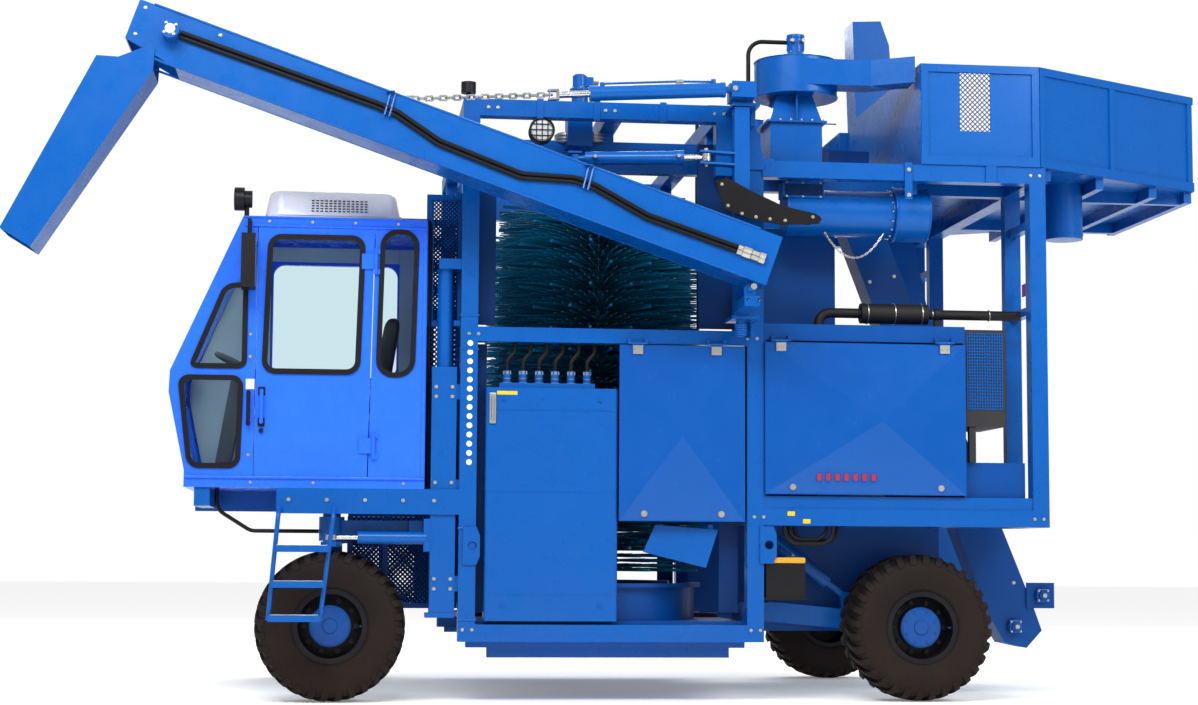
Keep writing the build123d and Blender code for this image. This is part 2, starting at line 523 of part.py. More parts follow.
with BuildPart() as cab_support:
    plate = [(-2130, CAB_FLOOR_Z), (FRONT_POST_X - 50, CAB_FLOOR_Z), (FRONT_POST_X - 50, 1085), (-2130, 1085)]
    prism(plate, cab_out, cab_out + 14)
    block(-2640, FRONT_POST_X - 50, side_y(LEFT, 700), side_y(LEFT, 600), 1110, CAB_FLOOR_Z)
    for x in (-2600, -2090):
        block(x, x + 90, cab_out + 14, side_y(LEFT, 700), 1125, CAB_FLOOR_Z)
    block(FRONT_POST_X - 50, FRONT_POST_X + 50, inner, side_y(LEFT, 600), 1110, 1210)
    # Guard frame behind the cab.
    guard_y = side_y(LEFT, 1300)
    for x0, x1, z0, z1 in ((CAB_REAR_X, CAB_REAR_X + 30, 2200, 2990), (CAB_REAR_X, FRONT_POST_X - 50, 2200, 2230),
                           (CAB_REAR_X, FRONT_POST_X - 50, 2960, 2990)):
        block(x0, x1, guard_y - 12, guard_y + 18, z0, z1)
    for z in (2200, 2960):
        block(FRONT_POST_X - 90, FRONT_POST_X - 50, side_y(LEFT, 1385), guard_y, z, z + 30)
save(cab_support.part, "cab_support")

LADDER_Y = 1750
RAIL_R = 13
LADDER_TREADS = [880, 680, 490]
ladder_y = side_y(LEFT, LADDER_Y)
with BuildPart() as ladder:
    for top_x, foot_x in ((-2105, -2155), (-1795, -1865)):
        with BuildLine() as rail_run:
            FilletPolyline((foot_x, ladder_y, 478), (top_x, ladder_y, 1105), (top_x, cab_out, 1105), radius=70)
        with BuildSketch(Plane(origin=rail_run.line @ 0, z_dir=rail_run.line % 0)) as tube:
            Circle(RAIL_R)
        sweep(tube.sketch, path=rail_run.line)
    for z in LADDER_TREADS:
        lean = (1105 - z) / 627
        block(-2105 - 50 * lean, -1795 - 70 * lean, ladder_y - 60, ladder_y + 60, z - 18, z + 18)
save(ladder.part, "ladder")

# Tanks, doors and engine bay
TANK_X = (-925, -143)
TANK_Z = (470 + SEAT, 1833)
TANK_THICK = 145
tank_out = side_y(LEFT, FRAME_HALF + 5)
with BuildPart() as oil_tank:
    block(TANK_X[0], TANK_X[1], tank_out, tank_out + TANK_THICK, TANK_Z[0], TANK_Z[1])
    fillet(oil_tank.edges().filter_by(Axis.Z), 18)
    with Locations((-560, tank_out + TANK_THICK / 2, TANK_Z[1] + 15)):
        Box(560, 100, 30)
        with GridLocations(95, 1, 6, 1):
            Cylinder(24, 90, align=(Align.CENTER, Align.CENTER, Align.MIN))
save(oil_tank.part, "oil_tank")
with BuildPart() as fuel_tank:
    block(TANK_X[0], TANK_X[1], side_y(1, FRAME_HALF + 5), side_y(1, FRAME_HALF + 5 - TANK_THICK),
          TANK_Z[0], 1400)
    fillet(fuel_tank.edges().filter_by(Axis.Z), 18)
    disc(-300, side_y(1, FRAME_HALF - 65), 1420, 45, 60, (0, 0, 1))
save(fuel_tank.part, "fuel_tank")


def pressed_panel(x0, x1, z0, z1, apex, rise, y, thick):
    """Sheet panel whose face is pressed out to a low four-sided peak."""
    block(x0, x1, y, y + thick, z0, z1)
    with BuildSketch(upright(y)) as foot:
        with Locations(((x0 + x1) / 2, (z0 + z1) / 2)):
            Rectangle(x1 - x0 - 16, z1 - z0 - 16)
    with BuildSketch(upright(y - rise)) as peak:
        with Locations(apex):
            Rectangle(6, 6)
    loft(sections=[foot.sketch, peak.sketch], ruled=True)


PANEL_THICK = 14
SIDE_DOOR_X = (-138, 613)
SIDE_DOOR_Z = (1056, 2096)
HOOD_DOOR_X = (735, 1958)
HOOD_DOOR_Z = (1222, 2128)
panel_y = side_y(LEFT, FRAME_HALF + 20)
hinge_line_y = panel_y - 8
DOOR_HINGE_RISE = 10
HINGE_LONG = 40


def fixed_hinge(x, z, y0, y1):
    """Two fixed halves of a hinge either side of the door's barrel."""
    for low in (x - HINGE_LONG - SEAT - 20, x + HINGE_LONG + SEAT):
        bar((low, y0, z), (low + 20, y0, z), 8)
        block(low, low + 20, y0, y1, z, z + 26)


SIDE_HINGES_X = (-30, 440)
HOOD_HINGES_X = (830, 1830)
with BuildPart() as frame_hinges:
    for x in SIDE_HINGES_X:
        fixed_hinge(x, SIDE_DOOR_Z[1] + DOOR_HINGE_RISE, hinge_line_y, outer)
save(side_frame.part + frame_hinges.part, "side_frame_left")

with BuildPart() as side_door:
    pressed_panel(*SIDE_DOOR_X, *SIDE_DOOR_Z, (235, 1560), 34, panel_y, PANEL_THICK)
    for x in SIDE_HINGES_X:
        block(x - 35, x + 35, hinge_line_y, panel_y, SIDE_DOOR_Z[1] - 60, SIDE_DOOR_Z[1] + DOOR_HINGE_RISE)
        bar((x - HINGE_LONG, hinge_line_y, SIDE_DOOR_Z[1] + DOOR_HINGE_RISE),
            (x + HINGE_LONG, hinge_line_y, SIDE_DOOR_Z[1] + DOOR_HINGE_RISE), 8)
save(side_door.part, "side_door")
with BuildPart() as hood_door:
    pressed_panel(*HOOD_DOOR_X, *HOOD_DOOR_Z, (1440, 1660), 40, panel_y, PANEL_THICK)
    for x in HOOD_HINGES_X:
        block(x - 35, x + 35, hinge_line_y, panel_y, HOOD_DOOR_Z[1] - 60, HOOD_DOOR_Z[1] + DOOR_HINGE_RISE)
        bar((x - HINGE_LONG, hinge_line_y, HOOD_DOOR_Z[1] + DOOR_HINGE_RISE),
            (x + HINGE_LONG, hinge_line_y, HOOD_DOOR_Z[1] + DOOR_HINGE_RISE), 8)
save(hood_door.part, "hood_door")

HOOD_TOP_Z = 2240
DECK_TOP_Z = DECK_Z + TUBE / 2 + SHEET
hood_in = side_y(LEFT, DECK_INNER + 10)
hood_out = side_y(LEFT, FRAME_HALF - 2)
with BuildPart() as engine_hood:
    block(732, 1962, hood_out, hood_in, DECK_TOP_Z + 70, HOOD_TOP_Z)
    block(742, 1952, hood_out - 5, hood_in - 10, DECK_TOP_Z + 60, 2140, mode=Mode.SUBTRACT)
    block(742, 1952, hood_out + 10, hood_in - 10, DECK_TOP_Z + 60, HOOD_TOP_Z - 10, mode=Mode.SUBTRACT)
    block(1962, 2345, side_y(LEFT, 1388), side_y(LEFT, 1180), DECK_TOP_Z, 1425)
    block(742, 782, hood_in, hood_in - 40, DECK_TOP_Z, DECK_TOP_Z + 75)
    block(1912, 1952, hood_in, hood_in - 40, DECK_TOP_Z, DECK_TOP_Z + 75)
    for x in HOOD_HINGES_X:
        fixed_hinge(x, HOOD_DOOR_Z[1] + DOOR_HINGE_RISE, hinge_line_y, hood_out)
save(engine_hood.part, "engine_hood")

with BuildPart() as engine_block:
    block(980, 1680, side_y(LEFT, 1330), side_y(LEFT, 930), 1230, 1930)
    for x in (1040, 1620):
        for y in (1290, 970):
            block(x - 40, x + 40, side_y(LEFT, y - 30), side_y(LEFT, y + 30), DECK_TOP_Z, 1230)
save(engine_block.part, "engine_block")

with BuildPart() as radiator:
    block(1962 + SEAT, 2210, side_y(LEFT, 1440), side_y(LEFT, 900), 1640, 2225)
    for y in (1410, 930):
        block(1990, 2030, side_y(LEFT, y - 20), side_y(LEFT, y + 20), DECK_TOP_Z if y < 1180 else 1425, 1640)
save(radiator.part, "radiator")

MUFFLER_Y = 1150
MUFFLER_Z = 2345
with BuildPart() as exhaust:
    y = side_y(LEFT, MUFFLER_Y)
    bar((1390, y, MUFFLER_Z), (1810, y, MUFFLER_Z), 62)
    bar((1810, y, MUFFLER_Z), (2395, y, MUFFLER_Z), 30)
    with BuildLine() as pipe_run:
        FilletPolyline((1390, y, MUFFLER_Z), (1130, y, MUFFLER_Z), (1130, y, HOOD_TOP_Z), radius=70)
    with BuildSketch(Plane(origin=pipe_run.line @ 0, z_dir=pipe_run.line % 0)) as pipe:
        Circle(30)
    sweep(pipe.sketch, path=pipe_run.line)
    # Clamp on a rubber mount.
    disc(1875, y, MUFFLER_Z, 37, 40, (1, 0, 0))
    block(1855, 1895, y - 15, y + 15, HOOD_TOP_Z, MUFFLER_Z - 30)
save(exhaust.part, "exhaust")

with BuildPart() as battery:
    block(745, 980, side_y(LEFT, 1440), side_y(LEFT, 1240), 612, 845)
    block(MID_POST_X + 50, 992, side_y(LEFT, 1446), side_y(LEFT, 1234), 600, 612)
save(battery.part, "battery")

# Crop conveying: elevators, auger, fans and hopper.
ELEV_L = (700, 470)
with BuildPart() as elevator_left:
    prism([(2325, 480), (2420, 320), (2560, 290), (2660, 400), (2610, 540), (1560, 3160), (1560, 3440),
           (1300, 3440), (1300, 3180)], side_y(LEFT, ELEV_L[0]), side_y(LEFT, ELEV_L[1]))
    # Tension bearings at the boot.
    block(2560, 2740, side_y(LEFT, ELEV_L[0] + 12), side_y(LEFT, ELEV_L[0]), 540, 700)
    disc(2480, side_y(LEFT, ELEV_L[0] + 15), 425, 48, 30, (0, 1, 0))
    disc(2660, side_y(LEFT, ELEV_L[0] + 15), 620, 48, 30, (0, 1, 0))
    # Bracket to the rear deck tube and hanger at the top.
    block(2130, 2300, side_y(LEFT, DECK_INNER), side_y(LEFT, ELEV_L[0]), DECK_Z - 45, DECK_Z + 45)
    block(1380, 1480, side_y(LEFT, DECK_INNER), side_y(LEFT, ELEV_L[0]), UPPER_Z - 45, UPPER_Z + 45)
save(elevator_left.part, "elevator_left")

ELEV_R = (460, 720)
with BuildPart() as elevator_right:
    prism([(2380, 480), (2440, 320), (2580, 290), (2690, 400), (2640, 540), (2040, 3650), (1990, 4420),
           (1930, 4590), (1730, 4580), (1760, 3650)], side_y(1, ELEV_R[0]), side_y(1, ELEV_R[1]))
    block(2250, 2400, side_y(1, DECK_INNER), side_y(1, ELEV_R[1]), DECK_Z - 45, DECK_Z + 45)
    disc(2500, side_y(1, ELEV_R[1] + 15), 425, 48, 30, (0, 1, 0))
save(elevator_right.part, "elevator_right")

FAN_X = 1020
FAN_Y = 1000
FAN_R = 258
with BuildPart() as fan:
    y = side_y(LEFT, FAN_Y)
    with Locations((FAN_X, y, 3815)):
        Cylinder(FAN_R, 230)
    with Locations((FAN_X, y, 3930)):
        Cone(FAN_R, 120, 50, align=(Align.CENTER, Align.CENTER, Align.MIN))
        Cylinder(56, 175, align=(Align.CENTER, Align.CENTER, Align.MIN))
    with BuildSketch(Plane.XY.offset(3530)) as foot:
        with Locations((990, y)):
            Rectangle(325, 325)
    with BuildSketch(Plane.XY.offset(3700)) as neck:
        with Locations((990, y)):
            Rectangle(225, 225)
    loft(sections=[foot.sketch, neck.sketch], ruled=True)
    block(802, 1178, y - 188, y + 188, 3520, 3532)
    block(828, 1152, y - 162, y + 162, POST_TOP_Z, 3520)
    # Outlet duct with its flared end.
    slab([(1000, y - FAN_R), (1440, y - FAN_R), (1680, y - 400), (1680, y - 220), (1440, y - 60), (1000, y - 60)],
         3745, 3905)
save(fan.part + mirror(fan.part, about=TUNNEL), "fans")

AUGER_Y = 1180
AUGER_Z = 2955
AUGER_R = 142
with BuildPart() as auger_housing:
    y = side_y(LEFT, AUGER_Y)
    bar((905, y, AUGER_Z), (1575, y, AUGER_Z), AUGER_R)
    bar((1575, y, AUGER_Z), (1795, y, AUGER_Z), AUGER_R + 24)
    bar((1795, y, AUGER_Z), (1830, y, AUGER_Z), 20)
    # Hatch, and straps up to the upper beam.
    block(880, 1130, y - 120, y + 30, 3035, UPPER_Z - 50)
    block(1640, 1700, inner, y, 3060, UPPER_Z - 50)
save(auger_housing.part, "auger_housing")

# Hopper: outline seen from above, open at the top.
HOPPER_Z = (3225, 3850)
HOPPER_WALL = 10
hopper_left = [(1700, 1450), (2440, 1450), (3700, 730)]
notch = [(1700, ELEV_R[1] + 30), (2250, ELEV_R[1] + 30), (2250, ELEV_R[0] - 30), (1700, ELEV_R[0] - 30)]
hopper_outline = [(x, side_y(LEFT, y)) for x, y in hopper_left]
hopper_outline += [(x, side_y(1, y)) for x, y in reversed(hopper_left)]
hopper_outline += [(x, side_y(1, y)) for x, y in notch]
with BuildPart() as hopper:
    slab(hopper_outline, *HOPPER_Z)
    with BuildSketch(Plane.XY.offset(HOPPER_Z[0] + HOPPER_WALL)) as room:
        with BuildLine():
            Polyline(*hopper_outline, close=True)
        make_face()
        offset(amount=-HOPPER_WALL, kind=Kind.INTERSECTION)
    extrude(room.sketch, amount=HOPPER_Z[1] - HOPPER_Z[0], mode=Mode.SUBTRACT)
    # Mesh window, ribs and bottom rails.
    block(1945, 2135, side_y(LEFT, 1470), side_y(LEFT, 1420), 3440, 3800, mode=Mode.SUBTRACT)
    for x in (2480, 2900, 3340, 3640):
        reach = 1450 - (x - 2440) * 720 / 1260
        block(x, x + 50, side_y(-1, reach - 40), side_y(1, reach - 40), HOPPER_Z[0] - 70, HOPPER_Z[0])
    for side in (-1, 1):
        block(2475, 3710 - 50, side_y(side, 660), side_y(side, 600), HOPPER_Z[0] - 70, HOPPER_Z[0])
    with Locations((2790, side_y(LEFT, 850), HOPPER_Z[0])):
        Cylinder(118, 350, align=(Align.CENTER, Align.CENTER, Align.MAX))
save(hopper.part, "hopper")

# Rubber chute side between the auger's mouth and the boom's foot.
BOOM_IN = 1712
BOOM_WIDE = 320
MAST_X = 555
MAST_Y = 1650
FLAP_Y = BOOM_IN + 40
with BuildPart() as discharge_flap:
    edge = side_y(LEFT, FLAP_Y)
    prism([(387, 3040), (455, 3060), (600, 2985), (790, 2900), (985, 2860), (1020, 2830), (1000, 2800),
           (790, 2790), (600, 2815), (440, 2875)], edge, edge + 10)
    prism([(640, 2880), (1010, 2850), (1010, 2838), (640, 2868)], edge + 10, outer - SEAT)
save(discharge_flap.part, "discharge_flap")

# Work lamps on the gantry
with BuildPart() as gantry_lamps:
    y = side_y(LEFT, FRAME_HALF)
    disc(-607, y + 60, 3375, 75, 80, (0, 1, 0))
    block(-625, -589, y + 30, y + 60, 3375, TOP_Z - 50)
    with Locations((FRONT_POST_X - 20, y + 50, TOP_Z + 50)):
        Cylinder(12, 40, align=(Align.CENTER, Align.CENTER, Align.MIN))
        with Locations((0, 0, 40)):
            Cylinder(44, 66, align=(Align.CENTER, Align.CENTER, Align.MIN))
save(gantry_lamps.part, "gantry_lamps")

# Boom. The mast turns in two bearings outside the frame; the boom tips on a pin
# at the mast's foot, held by the cylinder and chain at the mast's head.
BOOM_LEAN = 19.05
BOOM_PIVOT_Z = 2400
BOOM_SHEET = 8
BOOM_FLOOR = 20
BOOM_DEEP = 295
BOOM_LONG = 3785
BOOM_FLOOR_LONG = BOOM_LONG - 315
BOOM_FOOT = 75
MAST_TUBE = 90
JOURNAL_R = 28
BEARING_CLEAR = 2
lean = math.radians(BOOM_LEAN)
mast_y = side_y(LEFT, MAST_Y)
boom_in = side_y(LEFT, BOOM_IN)
boom_out = side_y(LEFT, BOOM_IN + BOOM_WIDE)
boom_mid = (boom_in + boom_out) / 2


def on_boom(along, up):
    """X and Z of a place measured along the boom from its pin, and square to it."""
    return (MAST_X - along * math.cos(lean) + up * math.sin(lean),
            BOOM_PIVOT_Z + along * math.sin(lean) + up * math.cos(lean))


def boom_plate(points, y0, y1, mode=Mode.ADD):
    """Outline in the boom's own directions, pulled from y0 to y1."""
    prism([on_boom(*point) for point in points], y0, y1, mode=mode)


PIN_DROP = 25
pin_x, pin_z = on_boom(0, -PIN_DROP)
LOW_BEARING_Z = 2235
HIGH_BEARING_Z = 3500
BRACKET_THICK = 20
with BuildPart() as mast_bracket:
    for z in (LOW_BEARING_Z, HIGH_BEARING_Z):
        block(MAST_X - 60, MID_POST_X - 20, cab_out, mast_y - 55, z, z + BRACKET_THICK)
        block(MID_POST_X - 50, MID_POST_X - 20, cab_out, mast_y + 90, z - 90, z)
        disc(MAST_X, mast_y, z, JOURNAL_R + BEARING_CLEAR, 90, (0, 0, 1), mode=Mode.SUBTRACT)
    prism([(TOP_BEAM_END_X + 5, HIGH_BEARING_Z + BRACKET_THICK), (MID_POST_X - 20, HIGH_BEARING_Z + BRACKET_THICK),
           (MID_POST_X + 50, POST_TOP_Z), (MID_POST_X + 50, POST_TOP_Z - 60), (TOP_BEAM_END_X + 5, POST_TOP_Z - 60)],
          cab_out - 14, cab_out)

SLEW_PIN = (-216, -50)
SLEW_Z = 3185
LUFF_PIN_X = 500
LUFF_Z = 3590
LUFF_Y = MAST_Y + 80
PIN_R = 14
PIN_EYE_R = 32
EYE_PIN_R = 12
luff_y = side_y(LEFT, LUFF_Y)
with BuildPart() as mast:
    block(MAST_X - 45, MAST_X + 45, mast_y - 45, mast_y + 45, LOW_BEARING_Z + BRACKET_THICK + GAP, HIGH_BEARING_Z - GAP)
    disc(MAST_X, mast_y, (LOW_BEARING_Z - 40 + HIGH_BEARING_Z + 60) / 2, JOURNAL_R,
         HIGH_BEARING_Z + 60 - LOW_BEARING_Z + 40, (0, 0, 1))
    # Thrust collar on the lower bearing.
    bar((MAST_X, mast_y, LOW_BEARING_Z + BRACKET_THICK + SEAT), (MAST_X, mast_y, LOW_BEARING_Z + BRACKET_THICK + 10), 44)
    # Head with two cheeks for the luffing cylinder.
    block(LUFF_PIN_X - 20, MAST_X + 70, mast_y - 30, mast_y + 45, HIGH_BEARING_Z + BRACKET_THICK + GAP, LUFF_Z + 45)
    for y in (luff_y - 34, luff_y + 34):
        block(LUFF_PIN_X - 18, MAST_X + 70, y - 6, y + 6, LUFF_Z - 50, LUFF_Z + 45)
    block(MAST_X + 20, MAST_X + 70, luff_y - 40, mast_y, LUFF_Z - 50, LUFF_Z + 45)
    bar((LUFF_PIN_X, luff_y - 30, LUFF_Z), (LUFF_PIN_X, luff_y + 30, LUFF_Z), EYE_PIN_R - SEAT)
    # Plates for the slewing cylinder's eye.
    for z in (SLEW_Z - 34, SLEW_Z + 34):
        slab([(MAST_X - 40, mast_y + 40), (MAST_X - 40, mast_y - 45), (MAST_X + SLEW_PIN[0] - 40, mast_y + SLEW_PIN[1] - 40),
              (MAST_X + SLEW_PIN[0] - 40, mast_y + SLEW_PIN[1] + 40)], z - 6, z + 6)
    # Foot arm below the boom with the boom's pin.
    block(MAST_X - 45, MAST_X + 45, boom_out + 20, mast_y, 2275, 2335)
    for y in (boom_in - 60, boom_out + 60):
        block(pin_x - PIN_EYE_R, pin_x + PIN_EYE_R, y - 8, y + 8, 2335, pin_z)
        disc(pin_x, y, pin_z, PIN_EYE_R, 16, (0, 1, 0))
    bar((pin_x, boom_in - 40, pin_z), (pin_x, boom_out + 40, pin_z), PIN_R)
save(mast.part, "mast")

SPOUT_PIN = on_boom(BOOM_LONG - 145, 75)
SPOUT_WALL = 6
SPOUT_CLEAR = 5
LUG_ALONG = 2260
SLATS = 16
with BuildPart() as boom:
    top = BOOM_FLOOR + BOOM_DEEP
    side_outline = [(-BOOM_FOOT, BOOM_FLOOR), (BOOM_FLOOR_LONG, BOOM_FLOOR), (BOOM_LONG, BOOM_FLOOR + 60),
                    (BOOM_LONG, top), (-BOOM_FOOT, top)]
    for y in (boom_in, boom_out + BOOM_SHEET):
        boom_plate(side_outline, y, y - BOOM_SHEET)
    boom_plate([(-BOOM_FOOT, BOOM_FLOOR), (BOOM_FLOOR_LONG, BOOM_FLOOR), (BOOM_FLOOR_LONG, BOOM_FLOOR + BOOM_SHEET),
                (-BOOM_FOOT, BOOM_FLOOR + BOOM_SHEET)], boom_in, boom_out)
    # Folded lips, and the closed end plate at the head.
    for y in (boom_in, boom_out + 40):
        boom_plate([(-BOOM_FOOT, top), (BOOM_LONG, top), (BOOM_LONG, top - BOOM_SHEET), (-BOOM_FOOT, top - BOOM_SHEET)],
                   y, y - 40)
    boom_plate([(BOOM_LONG - BOOM_SHEET, BOOM_FLOOR + 60), (BOOM_LONG, BOOM_FLOOR + 60), (BOOM_LONG, top),
                (BOOM_LONG - BOOM_SHEET, top)], boom_in, boom_out)
    # Slats of the conveyor on the floor.
    for index in range(SLATS):
        along = 60 + index * (BOOM_FLOOR_LONG - 30) / SLATS
        boom_plate([(along, BOOM_FLOOR + BOOM_SHEET), (along + 12, BOOM_FLOOR + BOOM_SHEET),
                    (along + 12, BOOM_FLOOR + 60), (along, BOOM_FLOOR + 60)],
                   boom_in - BOOM_SHEET, boom_out + BOOM_SHEET)
    # Pin lugs, chain lug and head motor.
    for y in (boom_in - 84, boom_out + 84):
        boom_plate([(-PIN_EYE_R, -PIN_DROP), (PIN_EYE_R, -PIN_DROP), (PIN_EYE_R, BOOM_FLOOR), (-PIN_EYE_R, BOOM_FLOOR)],
                   y - 6, y + 6)
        disc(pin_x, y, pin_z, PIN_EYE_R, 12, (0, 1, 0))
    disc(pin_x, boom_mid, pin_z, PIN_R + SEAT, BOOM_WIDE, (0, 1, 0), mode=Mode.SUBTRACT)
    boom_plate([(LUG_ALONG - 30, top), (LUG_ALONG + 30, top), (LUG_ALONG + 14, top + 60), (LUG_ALONG - 14, top + 60)],
               luff_y - 5, luff_y + 5)
    # Bosses that carry the spout's pins.
    for y0, y1 in ((boom_in, boom_in + SPOUT_CLEAR - SEAT), (boom_out, boom_out - SPOUT_CLEAR + SEAT)):
        bar((SPOUT_PIN[0], y0, SPOUT_PIN[1]), (SPOUT_PIN[0], y1, SPOUT_PIN[1]), 24)
    motor = on_boom(BOOM_LONG - 225, 200)
    disc(motor[0], boom_out - 45, motor[1], 52, 90, (0, 1, 0))
save(boom.part, "boom")


# Spout round the boom's head.
def from_spout_pin(points):
    """Outline measured from the spout's pin, in world directions."""
    return [(SPOUT_PIN[0] + x, SPOUT_PIN[1] + z) for x, z in points]


spout_in = boom_in + SPOUT_CLEAR + SPOUT_WALL
spout_out = boom_out - SPOUT_CLEAR - SPOUT_WALL
with BuildPart() as spout:
    outer_outline = [(-289, -54), (-169, -59), (23, -129), (-617, -1135), (-785, -1033)]
    prism(from_spout_pin(outer_outline), spout_in, spout_out)
    prism(from_spout_pin([(-256, -4), (49, -4), (49, -75), (-655, -1182), (-806, -1090)]),
          spout_in - SPOUT_WALL, spout_out + SPOUT_WALL, mode=Mode.SUBTRACT)
    # Ears up to the pins on the boom's sides.
    ear = [(-169, -59), (23, -129), (30, 0), (15, 26), (-15, 26), (-30, 0)]
    for y in (spout_in, spout_out + SPOUT_WALL):
        prism(from_spout_pin(ear), y, y - SPOUT_WALL)
save(spout.part, "spout")

# Luffing cylinder, chain and slewing cylinder.
LUFF_BARREL = 800
LUFF_BARREL_R = 43
LUFF_ROD_R = 20
lug_x, lug_z = on_boom(LUG_ALONG, BOOM_FLOOR + BOOM_DEEP + 38)
luff_pin = Vector(LUFF_PIN_X, luff_y, LUFF_Z)
luff_way = (Vector(lug_x, luff_y, lug_z) - luff_pin).normalized()
luff_reach = (Vector(lug_x, luff_y, lug_z) - luff_pin).length
barrel_start = luff_pin + luff_way * 55
barrel_end = luff_pin + luff_way * (55 + LUFF_BARREL)
with BuildPart() as luff_barrel:
    bar(barrel_start, barrel_end, LUFF_BARREL_R)
    bar((barrel_start + luff_way * 60), (barrel_end + luff_way * 5), LUFF_ROD_R + SEAT,
        mode=Mode.SUBTRACT)
    bar(luff_pin, (barrel_start + luff_way * 10), 20)
    disc(luff_pin.X, luff_pin.Y, luff_pin.Z, 26, 36, (0, 1, 0))
    disc(luff_pin.X, luff_pin.Y, luff_pin.Z, EYE_PIN_R, 60, (0, 1, 0), mode=Mode.SUBTRACT)
save(luff_barrel.part, "luff_barrel")

LINK_PITCH = 40.6
LINK_LONG = 60
LINK_WIRE = 9.6
LINK_WIDE = 34
SHACKLE = 79
chain_room = luff_reach - 55 - LUFF_BARREL - 170 - SHACKLE
links = int(chain_room / LINK_PITCH / 2) * 2
clevis_at = luff_reach - SHACKLE - 15.2 - (links - 1) * LINK_PITCH - 22
up_chain = luff_way.cross(Vector(0, 1, 0))
with BuildPart() as luff_rod:
    rod_tip = luff_pin + luff_way * (clevis_at - 30)
    bar(barrel_start + luff_way * 90, rod_tip, LUFF_ROD_R)
    link_frame = Plane(origin=luff_pin + luff_way * (clevis_at - 10), x_dir=luff_way, z_dir=(0, 1, 0))
    with Locations(link_frame.location):
        Box(60, 62, 44)
        Box(70, 40, 60, mode=Mode.SUBTRACT, align=(Align.CENTER, Align.CENTER, Align.CENTER))
        with Locations((-28, 0, 0)):
            Box(14, 62, 44)
    clevis_pin = luff_pin + luff_way * (clevis_at + 7.8)
    bar(clevis_pin - up_chain * 25, clevis_pin + up_chain * 25, 6)
    # Chain: every second link lies flat.
    for index in range(links):
        centre = luff_pin + luff_way * (clevis_at + 22 + index * LINK_PITCH)
        face = (0, 1, 0) if index % 2 else up_chain
        with BuildSketch(Plane(origin=centre - Vector(*face) * (LINK_WIRE / 2), x_dir=luff_way, z_dir=face)) as link:
            Rectangle(LINK_LONG, LINK_WIDE)
            chamfer(link.vertices(), 11)
            Rectangle(LINK_LONG - 2 * LINK_WIRE, LINK_WIDE - 2 * LINK_WIRE, mode=Mode.SUBTRACT)
        extrude(link.sketch, amount=LINK_WIRE)
    # Shackle round the boom's lug.
    shackle_pin = luff_pin + luff_way * (luff_reach - SHACKLE)
    bar(shackle_pin - Vector(0, 17, 0), shackle_pin + Vector(0, 17, 0), 5)
    for y in (-14, 14):
        beam(shackle_pin + Vector(0, y, 0) - luff_way * 10, shackle_pin + Vector(0, y, 0) + luff_way * (SHACKLE + 16), 7, 34)
save(luff_rod.part, "luff_rod")

SLEW_ANCHOR = Vector(-420, side_y(LEFT, 1560), SLEW_Z)
SLEW_BARREL_R = 40
SLEW_ROD_R = 18
slew_pin = Vector(MAST_X + SLEW_PIN[0], mast_y + SLEW_PIN[1], SLEW_Z)
slew_way = (slew_pin - SLEW_ANCHOR).normalized()
slew_reach = (slew_pin - SLEW_ANCHOR).length
with BuildPart() as slew_barrel:
    start = SLEW_ANCHOR + slew_way * 60
    end = SLEW_ANCHOR + slew_way * 640
    bar(start, end, SLEW_BARREL_R)
    bar((start + slew_way * 60), (end + slew_way * 5), SLEW_ROD_R + SEAT, mode=Mode.SUBTRACT)
    bar(SLEW_ANCHOR, (start + slew_way * 10), 20)
    disc(SLEW_ANCHOR.X, SLEW_ANCHOR.Y, SLEW_Z, 28, 44, (0, 0, 1))
    disc(SLEW_ANCHOR.X, SLEW_ANCHOR.Y, SLEW_Z, EYE_PIN_R, 80, (0, 0, 1), mode=Mode.SUBTRACT)
save(slew_barrel.part, "slew_barrel")
with BuildPart() as slew_rod:
    bar((start + slew_way * 90), slew_pin, SLEW_ROD_R)
    disc(slew_pin.X, slew_pin.Y, SLEW_Z, 30, 44, (0, 0, 1))
save(slew_rod.part, "slew_rod")
with BuildPart() as slew_anchor:
    for z in (SLEW_Z - 34, SLEW_Z + 34):
        block(SLEW_ANCHOR.X - 45, SLEW_ANCHOR.X + 35, SLEW_ANCHOR.Y - 35, side_y(LEFT, 1040), z - 6, z + 6)
    block(SLEW_ANCHOR.X - 45, SLEW_ANCHOR.X + 35, side_y(LEFT, 1060), side_y(LEFT, 1040), SLEW_Z - 40, RAIL_TOP_Z - 65)
    bar(SLEW_ANCHOR - Vector(0, 0, 34), SLEW_ANCHOR + Vector(0, 0, 34), EYE_PIN_R - SEAT)
save(mast_bracket.part + slew_anchor.part, "boom_brackets")

# Hydraulic hoses held along their whole run.
def hose(points, radius, bend):
    """Round hose along straight runs with rounded turns."""
    with BuildLine() as run:
        FilletPolyline(*points, radius=bend)
    with BuildSketch(Plane(origin=run.line @ 0, z_dir=run.line % 0)) as ring:
        Circle(radius)
    sweep(ring.sketch, path=run.line)


